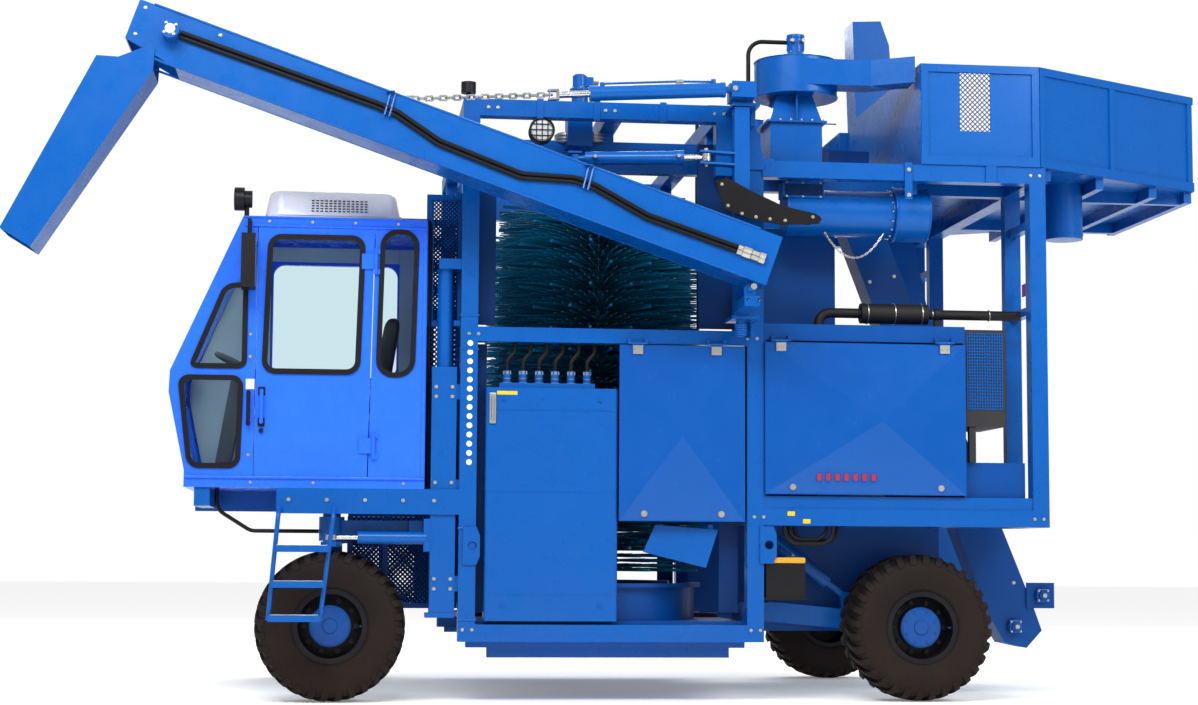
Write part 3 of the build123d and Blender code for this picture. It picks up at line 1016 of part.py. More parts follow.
HOSE_R = 12
with BuildPart() as hoses:
    # Cooling hose from the roof unit down the cab's back.
    y = side_y(LEFT, 1326)
    rear_x = CAB_REAR_X + 23
    hose([(-1430 + SEAT, y, 2830), (rear_x, y, 2830), (rear_x, y, 1250)], 10, 30)
    # Steering supply from the cab's floor to the kingpin housing.
    for shift in (-16, 16):
        y = kingpin_y + shift
        hose([(-2480, y, CAB_FLOOR_Z - SEAT), (-2480, y, 1110), (-2280, y, 985), (-1885, y, 985)], 11, 90)
    # Loops under the deck's edge beside the levelling cylinder.
    for index, (x0, x1, low) in enumerate(((860, 1150, 930), (890, 1120, 955), (930, 1190, 945))):
        y = side_y(LEFT, 1430 - index * 28)
        top = DECK_Z - TUBE / 2 - SEAT
        hose([(x0, y, top), (x0, y, low), (x1, y, low), (x1, y, top)], HOSE_R, 75)
    # From the tank's fittings up to the rail.
    for index in range(6):
        x = -560 + (index - 2.5) * 95
        y = tank_out + TANK_THICK / 2
        hose([(x, y, 1938 + SEAT), (x, y, 1995), (x + 45, y, 2050), (x + 45, y, RAIL_Z - RAIL_DEEP / 2 - SEAT)], 13, 45)
    # Fan motors' supply down to the cross tube.
    for side in (-1, 1):
        y = side_y(side, FAN_Y)
        hose([(FAN_X - 56 - SEAT, y, 4060), (720, y, 4060), (720, y, POST_TOP_Z + SEAT)], 13, 90)
save(hoses.part, "hoses")

BOOM_CLIPS = (2287, 1095)
with BuildPart() as boom_hoses:
    # Two hoses on the boom's near wall, sagging a little between the clips.
    y = boom_out - HOSE_R - SEAT
    for drop in (0, 2 * HOSE_R + 3):
        route = [(BOOM_LONG - 225 - 53, 215), (BOOM_CLIPS[0] + 60, 228), (BOOM_CLIPS[0] - 60, 222), (1950, 150),
                 (1450, 135), (BOOM_CLIPS[1] + 60, 222), (BOOM_CLIPS[1] - 60, 222), (700, 165), (130, 170)]
        places = [on_boom(along, up - drop) for along, up in route]
        hose([(x, y, z) for x, z in places], HOSE_R, 150)
save(boom_hoses.part, "boom_hoses")
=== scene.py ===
# %% [markdown]
# # A coffee harvester that straddles one row of trees
# The solids of the machine come ready made: tubes, drums, tanks, wheels and joints. This lesson gives
# them paint, rubber, glass and steel, and adds the small things that a hand would find on the real one.
# Everything is in metres. +X runs to the rear, +Z up, and -Y to the side with the cab and the boom.

# %% Start: load the frame
import bpy
import bmesh
import math
from mathutils import Matrix, Vector


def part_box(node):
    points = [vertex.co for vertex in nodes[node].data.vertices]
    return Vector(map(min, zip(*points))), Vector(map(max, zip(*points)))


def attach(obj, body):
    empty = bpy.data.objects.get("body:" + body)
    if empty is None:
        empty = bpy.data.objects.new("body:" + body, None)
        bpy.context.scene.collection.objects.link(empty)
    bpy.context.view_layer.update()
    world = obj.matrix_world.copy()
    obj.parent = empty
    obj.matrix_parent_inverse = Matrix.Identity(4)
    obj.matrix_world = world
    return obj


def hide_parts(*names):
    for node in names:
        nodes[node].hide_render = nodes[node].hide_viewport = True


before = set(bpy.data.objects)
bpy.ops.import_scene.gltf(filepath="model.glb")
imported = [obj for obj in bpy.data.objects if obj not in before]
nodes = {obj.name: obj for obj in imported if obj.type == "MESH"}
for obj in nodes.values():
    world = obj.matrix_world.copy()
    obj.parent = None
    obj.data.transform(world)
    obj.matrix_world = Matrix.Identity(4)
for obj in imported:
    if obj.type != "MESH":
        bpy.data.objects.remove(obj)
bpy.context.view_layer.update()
TUNNEL = 0.330
FRAME_HALF = 1.450
WHEEL_HALF = 1.262
LEFT_FACE = TUNNEL - FRAME_HALF
TO_LEFT = (0, -1, 0)
UPWARD = (0, 0, 1)


# %% [markdown]
# ## Shader groups
# Dust and an uneven coat turn up on many finishes, so each is one group with named inputs.
# A group could also hold a whole material, but then its gloss is harder to read and to export. Here a
# group only puts out a colour, a mask or a height, and the shader itself stays in the material.

# %% Helpers for node groups
def new_group(name, inputs, outputs):
    group = bpy.data.node_groups.new(name, "ShaderNodeTree")
    for label, kind, value in inputs:
        socket = group.interface.new_socket(label, in_out="INPUT", socket_type=kind)
        if value is not None:
            socket.default_value = value
    for label, kind in outputs:
        group.interface.new_socket(label, in_out="OUTPUT", socket_type=kind)
    enter = group.nodes.new("NodeGroupInput")
    leave = group.nodes.new("NodeGroupOutput")
    return group, enter, leave


def node(tree, kind, **settings):
    made = tree.nodes.new(kind)
    for key, value in settings.items():
        setattr(made, key, value)
    return made


def math_node(tree, operation, a, b=None):
    made = node(tree, "ShaderNodeMath", operation=operation)
    for index, value in enumerate((a, b)):
        if value is None:
            continue
        if isinstance(value, (int, float)):
            made.inputs[index].default_value = value
        else:
            tree.links.new(value, made.inputs[index])
    return made.outputs[0]


def mix_color(tree, factor, a, b):
    made = node(tree, "ShaderNodeMix", data_type="RGBA")
    for socket, value in ((made.inputs[0], factor), (made.inputs[6], a), (made.inputs[7], b)):
        if isinstance(value, (int, float, tuple)):
            socket.default_value = value
        else:
            tree.links.new(value, socket)
    return made.outputs[2]


# %% Group: settled dust
# Red field dust lies on the lower parts and thins out upwards, broken up by noise.
dust_group, enter, leave = new_group(
    "settled_dust",
    [("Color", "NodeSocketColor", (0.5, 0.5, 0.5, 1)), ("Dust", "NodeSocketColor", (0.16, 0.085, 0.05, 1)),
     ("Low", "NodeSocketFloat", 0.2), ("High", "NodeSocketFloat", 2.2), ("Amount", "NodeSocketFloat", 0.3)],
    [("Color", "NodeSocketColor"), ("Mask", "NodeSocketFloat")])
place = node(dust_group, "ShaderNodeTexCoord")
split = node(dust_group, "ShaderNodeSeparateXYZ")
dust_group.links.new(place.outputs["Object"], split.inputs[0])
fall = node(dust_group, "ShaderNodeMapRange", interpolation_type="SMOOTHSTEP")
dust_group.links.new(split.outputs["Z"], fall.inputs["Value"])
dust_group.links.new(enter.outputs["Low"], fall.inputs["From Min"])
dust_group.links.new(enter.outputs["High"], fall.inputs["From Max"])
fall.inputs["To Min"].default_value = 1
fall.inputs["To Max"].default_value = 0.06
patches = node(dust_group, "ShaderNodeTexNoise")
patches.inputs["Scale"].default_value = 5
patches.inputs["Detail"].default_value = 7
patches.inputs["Roughness"].default_value = 0.65
dust_group.links.new(place.outputs["Object"], patches.inputs["Vector"])
spread = node(dust_group, "ShaderNodeMapRange")
dust_group.links.new(patches.outputs["Fac"], spread.inputs["Value"])
spread.inputs["From Min"].default_value = 0.35
spread.inputs["From Max"].default_value = 0.72
dusty = math_node(dust_group, "MULTIPLY", math_node(dust_group, "MULTIPLY", fall.outputs[0], spread.outputs[0]),
                  enter.outputs["Amount"])
tinted = mix_color(dust_group, dusty, enter.outputs["Color"], enter.outputs["Dust"])
dust_group.links.new(tinted, leave.inputs["Color"])
dust_group.links.new(dusty, leave.inputs["Mask"])

# %% Group: uneven coat
# Sprayed paint has a slight ripple, and its tone drifts a little from panel to panel.
coat_group, enter, leave = new_group(
    "uneven_coat",
    [("Color", "NodeSocketColor", (0.5, 0.5, 0.5, 1)), ("Ripple", "NodeSocketFloat", 90.0),
     ("Drift", "NodeSocketFloat", 0.12)],
    [("Color", "NodeSocketColor"), ("Height", "NodeSocketFloat"), ("Roughness", "NodeSocketFloat")])
place = node(coat_group, "ShaderNodeTexCoord")
ripple = node(coat_group, "ShaderNodeTexNoise")
ripple.inputs["Detail"].default_value = 2
coat_group.links.new(place.outputs["Object"], ripple.inputs["Vector"])
coat_group.links.new(enter.outputs["Ripple"], ripple.inputs["Scale"])
tone = node(coat_group, "ShaderNodeTexNoise")
tone.inputs["Scale"].default_value = 1.7
tone.inputs["Detail"].default_value = 4
coat_group.links.new(place.outputs["Object"], tone.inputs["Vector"])
darker = mix_color(coat_group, math_node(coat_group, "MULTIPLY", tone.outputs["Fac"], enter.outputs["Drift"]),
                   enter.outputs["Color"], (0.0, 0.0, 0.01, 1))
smear = node(coat_group, "ShaderNodeTexNoise")
smear.inputs["Scale"].default_value = 9
smear.inputs["Detail"].default_value = 8
coat_group.links.new(place.outputs["Object"], smear.inputs["Vector"])
coat_group.links.new(darker, leave.inputs["Color"])
coat_group.links.new(ripple.outputs["Fac"], leave.inputs["Height"])
coat_group.links.new(smear.outputs["Fac"], leave.inputs["Roughness"])
print("groups:", [g.name for g in bpy.data.node_groups])


# %% [markdown]
# ## Paints and other finishes
# The harvester wears one azure gloss paint, brighter on the cab. Each finish below starts as
# a plain shader, then gets its drift of tone, its ripple and its dust. Painting by hand on a texture
# would also work, but noise in object space needs no unwrapping and stays sharp close up.

# %% Finish helper
def finish(name, color, rough, metallic=0.0, coat=0.0, ripple=90.0, drift=0.12, bump=0.002, dust=0.25,
           low=0.2, high=2.2, dust_color=(0.16, 0.085, 0.05, 1), rough_spread=0.12, gloss=0.5):
    made = bpy.data.materials.new(name)
    made.use_nodes = True
    tree = made.node_tree
    shader = tree.nodes["Principled BSDF"]
    shader.inputs["Metallic"].default_value = metallic
    shader.inputs["Coat Weight"].default_value = coat
    shader.inputs["Specular IOR Level"].default_value = gloss
    shader.inputs["Coat Roughness"].default_value = 0.08
    layer = node(tree, "ShaderNodeGroup", node_tree=coat_group)
    layer.inputs["Color"].default_value = (*color, 1)
    layer.inputs["Ripple"].default_value = ripple
    layer.inputs["Drift"].default_value = drift
    dirt = node(tree, "ShaderNodeGroup", node_tree=dust_group)
    tree.links.new(layer.outputs["Color"], dirt.inputs["Color"])
    dirt.inputs["Dust"].default_value = dust_color
    dirt.inputs["Low"].default_value = low
    dirt.inputs["High"].default_value = high
    dirt.inputs["Amount"].default_value = dust
    tree.links.new(dirt.outputs["Color"], shader.inputs["Base Color"])
    spread = node(tree, "ShaderNodeMapRange")
    tree.links.new(layer.outputs["Roughness"], spread.inputs["Value"])
    spread.inputs["From Min"].default_value = 0.3
    spread.inputs["From Max"].default_value = 0.7
    spread.inputs["To Min"].default_value = max(0.02, rough - rough_spread / 2)
    spread.inputs["To Max"].default_value = rough + rough_spread / 2
    dulled = math_node(tree, "ADD", spread.outputs[0],
                       math_node(tree, "MULTIPLY", dirt.outputs["Mask"], 0.5))
    tree.links.new(dulled, shader.inputs["Roughness"])
    relief = node(tree, "ShaderNodeBump")
    relief.inputs["Strength"].default_value = 0.35
    relief.inputs["Distance"].default_value = bump
    tree.links.new(layer.outputs["Height"], relief.inputs["Height"])
    tree.links.new(relief.outputs[0], shader.inputs["Normal"])
    return made


# %% Finishes of the machine
AZURE = (0.0, 0.112, 0.41)
HUB_BLUE = (0.001, 0.085, 0.33)
paint_frame = finish("azure_gloss_paint", AZURE, 0.30, coat=0.12, bump=0.0010, dust=0.04, gloss=0.3)
# A darker copy of the azure paint: painted shade for parts in the machine's own shadow, namely the catch floor, engine
# hood, left elevator, tunnel sheets and guard bars.
paint_shaded_copy = finish("azure_paint_painted_shade", (0.0, 0.080, 0.32), 0.38, coat=0.06, dust=0.06, gloss=0.25)
paint_cab = finish("cab_bright_blue_paint", (0.030, 0.180, 0.90), 0.26, coat=0.10, drift=0.2, bump=0.0006,
                   dust=0.04, gloss=0.3)
paint_panel = finish("panel_blue_paint", (0.0, 0.098, 0.385), 0.22, coat=0.2, bump=0.0006, dust=0.03, gloss=0.35)
paint_hub = finish("hub_blue_paint", HUB_BLUE, 0.36, coat=0.05, dust=0.2, low=0, high=1.2, gloss=0.3)
# Rim colour: the rims' dark blue paint, darkened nearly to black as painted shade inside the wheel.
paint_rim_and_shade = finish("rim_paint_with_painted_shade", (0.003, 0.005, 0.010), 0.42, dust=0.12, low=0, high=1.2, gloss=0.3)
tyre_rubber = finish("tyre_rubber_with_soil", (0.016, 0.011, 0.009), 0.68, ripple=140, bump=0.003, dust=0.34,
                     gloss=0.25, low=0.0, high=0.95, dust_color=(0.060, 0.030, 0.020, 1))
black_plastic = finish("black_moulded_plastic", (0.006, 0.006, 0.008), 0.45, ripple=220, bump=0.0008, dust=0.04,
                       gloss=0.35)
white_plastic = finish("white_glass_fibre_lid", (0.90, 0.91, 0.93), 0.34, coat=0.2, ripple=160, drift=0.04,
                       dust=0.03, high=3.4)
rubber_black = finish("black_rubber", (0.005, 0.005, 0.006), 0.5, ripple=120, bump=0.001, dust=0.03, gloss=0.3)
bare_steel = finish("ground_steel_rod", (0.62, 0.63, 0.65), 0.18, metallic=1.0, drift=0.06, dust=0.1)
zinc = finish("zinc_plated_steel", (0.55, 0.54, 0.50), 0.36, metallic=1.0, ripple=160, dust=0.15)
iron = finish("engine_casting_paint", (0.02, 0.022, 0.025), 0.55, ripple=60, bump=0.004, dust=0.35)
soot_black = finish("exhaust_heat_black", (0.012, 0.011, 0.011), 0.6, ripple=70, bump=0.002, dust=0.2, high=3.2)
rod_fibre = finish("picking_rod_fibre", (0.001, 0.150, 0.270), 0.40, ripple=60, dust=0.06, high=3.0, gloss=0.3)
shaft_paint = finish("drum_shaft_paint", (0.010, 0.160, 0.330), 0.42, ripple=60, dust=0.08, gloss=0.3)
belt_grey = finish("plate_nylon_grey", (0.10, 0.11, 0.12), 0.5, dust=0.5, low=0.3, high=1.6)
reflector_white = finish("white_reflector", (0.85, 0.86, 0.86), 0.15, coat=0.6, ripple=300, dust=0.05)
reflector_red = finish("red_reflector", (0.55, 0.012, 0.010), 0.16, coat=0.7, ripple=300, dust=0.05)
tag_yellow = finish("blank_yellow_plate", (0.80, 0.55, 0.03), 0.35, coat=0.3, dust=0.15)
lid_amber = finish("amber_battery_lid", (0.74, 0.36, 0.03), 0.4, coat=0.1, dust=0.06)
tag_white = finish("blank_white_plate", (0.75, 0.76, 0.76), 0.35, coat=0.3, dust=0.1)
plastic_grey = finish("grey_moulded_plastic", (0.11, 0.115, 0.12), 0.5, ripple=220, bump=0.0008, dust=0.08)
lining_grey = finish("pale_cab_lining", (0.52, 0.60, 0.62), 0.6, ripple=300, bump=0.0012, dust=0.05)
mesh_paint = finish("guard_mesh_paint", (0.0, 0.040, 0.16), 0.4, dust=0.04, gloss=0.25)
seat_cloth = finish("charcoal_seat_cloth", (0.035, 0.036, 0.042), 0.85, ripple=420, bump=0.0016, dust=0.1, high=3)

# %% Window glass
# A thin pane hardly bends light, so its index is close to that of air. Smudges dull it in places.
def clear_glass(name, tint):
    made = bpy.data.materials.new(name)
    made.use_nodes = True
    tree = made.node_tree
    shader = tree.nodes["Principled BSDF"]
    shader.inputs["Base Color"].default_value = (*tint, 1)
    shader.inputs["Transmission Weight"].default_value = 1
    shader.inputs["IOR"].default_value = 1.05
    smudge = node(tree, "ShaderNodeTexNoise")
    smudge.inputs["Scale"].default_value = 6
    smudge.inputs["Detail"].default_value = 6
    place = node(tree, "ShaderNodeTexCoord")
    tree.links.new(place.outputs["Object"], smudge.inputs["Vector"])
    span = node(tree, "ShaderNodeMapRange")
    tree.links.new(smudge.outputs["Fac"], span.inputs["Value"])
    span.inputs["To Min"].default_value = 0.0
    span.inputs["To Max"].default_value = 0.08
    tree.links.new(span.outputs[0], shader.inputs["Roughness"])
    return made


window_glass = clear_glass("tinted_window_glass", (0.80, 0.90, 0.93))

# %% Paint every solid
palette = {
    paint_frame: ["side_frame_left", "side_frame_right", "top_frame", "front_leg_left", "front_leg_right",
                  "knuckle_left", "knuckle_right", "rear_arm_left", "rear_arm_right", "cab_support",
                  "elevator_right", "fans", "auger_housing", "hopper", "boom_brackets", "mast",
                  "boom", "spout", "luff_barrel", "slew_barrel", "ladder", "oil_tank", "fuel_tank"],
    # These parts take the darker copy of the azure paint as painted shade.
    paint_shaded_copy: ["catch_floor", "engine_hood", "elevator_left"],
    paint_cab: ["cab_shell", "cab_door"],
    paint_panel: ["side_door", "hood_door"],
    tyre_rubber: [name for name in nodes if name.startswith("tyre_")],
    # The rims take the dark paint with its painted shade.
    paint_rim_and_shade: [name for name in nodes if name.startswith("rim_")],
    window_glass: ["cab_glass", "door_glass"],
    plastic_grey: ["cab_controls"],
    black_plastic: ["mirror_and_lamp", "gantry_lamps", "battery"],
    belt_grey: ["catch_plates"],
    white_plastic: ["aircon_unit"],
    bare_steel: ["steer_rod_left", "steer_rod_right", "luff_rod", "slew_rod"],
    rubber_black: ["discharge_flap", "cab_seat", "hoses", "boom_hoses"],
    iron: ["engine_block", "radiator"],
    soot_black: ["exhaust"],
    rod_fibre: ["picking_drum_left", "picking_drum_right"],
}


def coat(obj, material):
    if not obj.data.materials:
        obj.data.materials.append(material)
    for slot in obj.material_slots:
        slot.material = material


for material, names in palette.items():
    for name in names:
        coat(nodes[name], material)
painted = {name for names in palette.values() for name in names}
print("painted", len(painted), "of", len(nodes), "solids; bare:", sorted(set(nodes) - painted))


# %% [markdown]
# ## Small parts from operators
# Bolts, gaskets, bars and grids come from a handful of bmesh operators. A finished piece keeps its
# object at the origin with its place in the mesh, so that a pattern in object space stays put.

# %% Helpers for pieces
def piece(name, mesh, material, body="chassis", smooth=False, recalc=True):
    if recalc:
        bmesh.ops.recalc_face_normals(mesh, faces=mesh.faces)
    data = bpy.data.meshes.new(name)
    mesh.to_mesh(data)
    mesh.free()
    obj = bpy.data.objects.new(name, data)
    bpy.context.collection.objects.link(obj)
    data.materials.append(material)
    if smooth:
        for face in data.polygons:
            face.use_smooth = True
    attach(obj, body)
    print("  " + name + ":", len(data.polygons), "faces on", body)
    return obj


def along(axis):
    return Vector(UPWARD).rotation_difference(Vector(axis)).to_matrix().to_4x4()


def add_rod(mesh, start, end, radius, sides=16, radius_end=None):
    start, end = Vector(start), Vector(end)
    made = bmesh.ops.create_cone(mesh, cap_ends=True, segments=sides, radius1=radius,
                                 radius2=radius if radius_end is None else radius_end, depth=(end - start).length)
    place = Matrix.Translation((start + end) / 2)
    bmesh.ops.transform(mesh, verts=made["verts"], matrix=place @ along(end - start))


def add_box(mesh, x0, x1, y0, y1, z0, z1, bevel=0.0):
    made = bmesh.ops.create_cube(mesh, size=1)
    size = Matrix.Diagonal((abs(x1 - x0), abs(y1 - y0), abs(z1 - z0), 1))
    middle = Matrix.Translation(((x0 + x1) / 2, (y0 + y1) / 2, (z0 + z1) / 2))
    bmesh.ops.transform(mesh, verts=made["verts"], matrix=middle @ size)
    if bevel:
        edges = list({edge for vert in made["verts"] for edge in vert.link_edges})
        bmesh.ops.bevel(mesh, geom=edges, offset=bevel, offset_type="OFFSET", affect="EDGES", segments=2,
                        profile=0.5, material=-1)


def add_bolt(mesh, place, axis, across=0.012, high=0.009):
    place, axis = Vector(place), Vector(axis).normalized()
    add_rod(mesh, place, place + axis * 0.003, across * 0.75, 14)
    add_rod(mesh, place + axis * 0.003, place + axis * high, across * 0.58, 6)


def add_ring(mesh, place, axis, radius, wire, steps=32, sides=8):
    old = set(mesh.verts)
    start = bmesh.ops.create_circle(mesh, cap_ends=False, segments=sides, radius=wire)
    bmesh.ops.transform(mesh, verts=start["verts"],
                        matrix=Matrix.Translation((radius, 0, 0)) @ Matrix.Rotation(math.pi / 2, 4, "X"))
    edges = list({edge for vert in start["verts"] for edge in vert.link_edges})
    bmesh.ops.spin(mesh, geom=start["verts"] + edges, cent=(0, 0, 0), axis=(0, 0, 1), angle=math.tau,
                   steps=steps, use_merge=True)
    made = [vert for vert in mesh.verts if vert not in old]
    bmesh.ops.transform(mesh, verts=made, matrix=Matrix.Translation(place) @ along(axis))


def pull(mesh, faces, way):
    pulled = bmesh.ops.extrude_face_region(mesh, geom=faces)
    verts = [part for part in pulled["geom"] if isinstance(part, bmesh.types.BMVert)]
    bmesh.ops.translate(mesh, verts=verts, vec=way)


def add_sheet(mesh, outline, y, thick):
    """A flat outline in X and Z, pulled along Y."""
    pull(mesh, [mesh.faces.new([mesh.verts.new((x, y, z)) for x, z in outline])], (0, thick, 0))


def on_circle(count, radius, shift=0.0):
    """Points evenly round a circle, the first one turned by a share of the step."""
    angles = [math.tau * (k + shift) / count for k in range(count)]
    return [(radius * math.cos(a), radius * math.sin(a)) for a in angles]


def add_gasket(mesh, outline, corner, y, wide, thick):
    """A frame along an outline in X and Z: corners rounded, face inset, ring pulled out."""
    verts = [mesh.verts.new((x, y, z)) for x, z in outline]
    face = mesh.faces.new(verts)
    if corner:
        made = bmesh.ops.bevel(mesh, geom=verts, offset=corner, offset_type="OFFSET", affect="VERTICES", segments=6,
                               profile=0.5, material=-1)
        touched = [f for f in mesh.faces if any(v in made["verts"] for v in f.verts)]
        face = max(touched, key=lambda f: f.calc_area())
    ring = bmesh.ops.inset_individual(mesh, faces=[face], thickness=wide, use_even_offset=True)["faces"]
    bmesh.ops.delete(mesh, geom=[face], context="FACES_ONLY")
    pull(mesh, ring, (0, -thick, 0))


# %% [markdown]
# ## Cab
# Each window of the real cab sits in a black rubber gasket with a rounded lip, and the panels are held
# by small bolts. The gasket is an outline with rounded corners, inset and pulled out: an array of small
# profiles would do too, but one inset face keeps the width even round the corners.

# %% Window gaskets
CAB_OUT = LEFT_FACE
near_windows = [([(-2.326, 2.415), (-2.442, 2.400), (-2.640, 1.930), (-2.326, 1.930)], 0.045),
                ([(-2.342, 1.868), (-2.698, 1.868), (-2.632, 1.352), (-2.354, 1.352)], 0.06),
                ([(-1.560, 1.892), (-1.355, 1.892), (-1.335, 2.742), (-1.540, 2.742)], 0.095)]


def grown(outline, by):
    cx = sum(p[0] for p in outline) / len(outline)
    cz = sum(p[1] for p in outline) / len(outline)
    return [(x + math.copysign(by, x - cx), z + math.copysign(by, z - cz)) for x, z in outline]


mesh = bmesh.new()
for outline, corner in near_windows:
    add_gasket(mesh, grown(outline, 0.012), corner + 0.008, CAB_OUT - 0.0005, 0.030, 0.009)
piece("cab_window_gaskets", mesh, rubber_black)
mesh = bmesh.new()
add_gasket(mesh, grown([(-2.219, 1.903), (-1.673, 1.903), (-1.650, 2.699), (-2.193, 2.699)], 0.012), 0.080,
           CAB_OUT - 0.0025, 0.032, 0.010)
piece("door_window_gasket", mesh, rubber_black, "cab_door")
print("gaskets on", len(near_windows) + 1, "windows")

# %% Cab bolts, seams and trim
mesh = bmesh.new()
for x in (-2.20, -1.95, -1.70, -1.45):
    add_bolt(mesh, (x, CAB_OUT, 2.785), TO_LEFT)
for x in (-2.28, -1.92, -1.40):
    add_bolt(mesh, (x, CAB_OUT, 1.262), TO_LEFT)
for z in (2.12, 1.99, 1.62, 1.42):
    add_bolt(mesh, (-2.296, CAB_OUT, z), TO_LEFT)
for x in (-2.06, -1.84, -1.62, -1.40, -1.22):
    add_bolt(mesh, (x, CAB_OUT, 1.165), TO_LEFT, 0.016, 0.012)
piece("cab_bolts", mesh, zinc)
mesh = bmesh.new()
add_box(mesh, -2.34, -1.282, CAB_OUT - 0.009, CAB_OUT, 2.752, 2.764, 0.002)
add_box(mesh, -2.655, -1.282, CAB_OUT - 0.011, CAB_OUT, 1.283, 1.297, 0.002)
add_box(mesh, -2.345, -1.282, CAB_OUT - 0.006, CAB_OUT, 2.804, 2.815, 0.002)
add_box(mesh, -1.300, -1.284, CAB_OUT - 0.006, CAB_OUT, 1.30, 2.752, 0.002)
piece("cab_rails", mesh, paint_cab)
mesh = bmesh.new()
GRAB_X, GRAB_ENDS = -2.300, (1.60, 1.78)
add_rod(mesh, (GRAB_X, CAB_OUT - 0.034, GRAB_ENDS[0]), (GRAB_X, CAB_OUT - 0.034, GRAB_ENDS[1]), 0.011)
for z in GRAB_ENDS:
    add_rod(mesh, (GRAB_X, CAB_OUT - 0.040, z), (GRAB_X, CAB_OUT, z), 0.012)
piece("cab_grab_handle", mesh, black_plastic)
mesh = bmesh.new()
add_box(mesh, -2.318, -2.268, CAB_OUT - 0.003, CAB_OUT - 0.0002, 1.80, 1.86, 0.001)
piece("cab_blank_plate", mesh, tag_white)

# %% Pale lining inside the far wall
mesh = bmesh.new()
LINING_Y = -0.212
for outline in ([(-2.338, 2.760), (-2.694, 1.900), (-2.698, 1.790), (-2.606, 1.345), (-2.215, 1.345),
                 (-2.215, 2.760)],
                [(-1.418, 1.345), (-1.325, 1.345), (-1.325, 2.760), (-1.418, 2.760)],
                [(-2.213, 1.345), (-1.420, 1.345), (-1.420, 1.930), (-2.213, 1.930)],
                [(-2.213, 2.670), (-1.420, 2.670), (-1.420, 2.760), (-2.213, 2.760)]):
    add_sheet(mesh, outline, LINING_Y, -0.004)
piece("cab_far_lining", mesh, lining_grey)

# %% Door latch
mesh = bmesh.new()
add_box(mesh, -2.245, -2.205, CAB_OUT - 0.010, CAB_OUT - 0.002, 1.585, 1.635, 0.003)
add_box(mesh, -2.245, -2.205, CAB_OUT - 0.010, CAB_OUT - 0.002, 1.765, 1.815, 0.003)
add_rod(mesh, (-2.225, CAB_OUT - 0.018, 1.56), (-2.225, CAB_OUT - 0.002, 1.56), 0.014)
piece("door_latch", mesh, black_plastic, "cab_door")

# %% [markdown]
# ## Roof unit
# The white box on the roof cools the cab. Its side shows five rows of short slots and it stands on a
# black seal. The slots are too shallow to be worth cutting, so they are black bars set on the face: painted shade for
# the dark inside of each slot.

# %% Roof unit's grille and seal
lid_low, lid_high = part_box("aircon_unit")
print("roof unit box", [round(v, 3) for v in (*lid_low, *lid_high)])
mesh = bmesh.new()
slope = math.tan(math.radians(12))
for row in range(5):
    z = 2.868 + row * 0.016
    y = TUNNEL - 0.975 - 0.360 + (z - 2.845) * slope - 0.0015
    for column in range(13):
        x = -1.96 + column * 0.026
        add_box(mesh, x, x + 0.016, y - 0.001, y + 0.004, z, z + 0.006)
# Black bars: painted shade for the dark inside of the slots.
piece("roof_unit_slot_shade_bars", mesh, rubber_black)
mesh = bmesh.new()
EDGE = 0.004
add_box(mesh, lid_low.x - EDGE, lid_high.x + EDGE, lid_low.y - EDGE, lid_high.y + EDGE, 2.817, 2.829, 0.003)
piece("roof_unit_seal", mesh, rubber_black)

# %% [markdown]
# ## Tyres
# A flotation tyre has shallow lugs that lean over the crown and run down the shoulder. The carcass is a
# profile spun about the axle. One lug is a small face pulled along a bent path, and spin repeats it. A
# displaced surface could show lugs too, but it would need many more faces for edges as crisp as these.

# %% One tyre
LUGS = 32
AXLE_Z = 0.437
# Half of the carcass: distance from the tyre's middle plane, and radius.
half = [(0.160, 0.213), (0.184, 0.219), (0.196, 0.240), (0.1965, 0.262), (0.1998, 0.268), (0.1998, 0.335),
        (0.195, 0.370), (0.183, 0.393), (0.160, 0.407), (0.110, 0.415), (0.040, 0.418)]
profile = half + [(-y, r) for y, r in reversed(half)]
# One lug from crown to shoulder: distance, radius, turn about the axle, half width.
path = [(0.004, 0.436, 0.000, 0.018), (0.060, 0.436, 0.062, 0.017), (0.120, 0.4345, 0.105, 0.017),
        (0.165, 0.427, 0.128, 0.018), (0.188, 0.407, 0.140, 0.019), (0.1975, 0.376, 0.146, 0.019)]


def lug_corners(step, row):
    """Four corners of a lug's section at one step of its path, on one side of the crown."""
    y, radius, turn, wide = path[step]
    drop = 0.024 if step < 3 else 0.018
    inward = 0.0 if step < 3 else 0.016
    corners = []
    for depth, way in ((0, -1), (0, 1), (drop, 1), (drop, -1)):
        a = turn + way * wide / radius
        r = radius - depth
        side = y - (inward if depth else 0)
        corners.append(Vector((r * math.cos(a), row * side, r * math.sin(a))))
    return corners


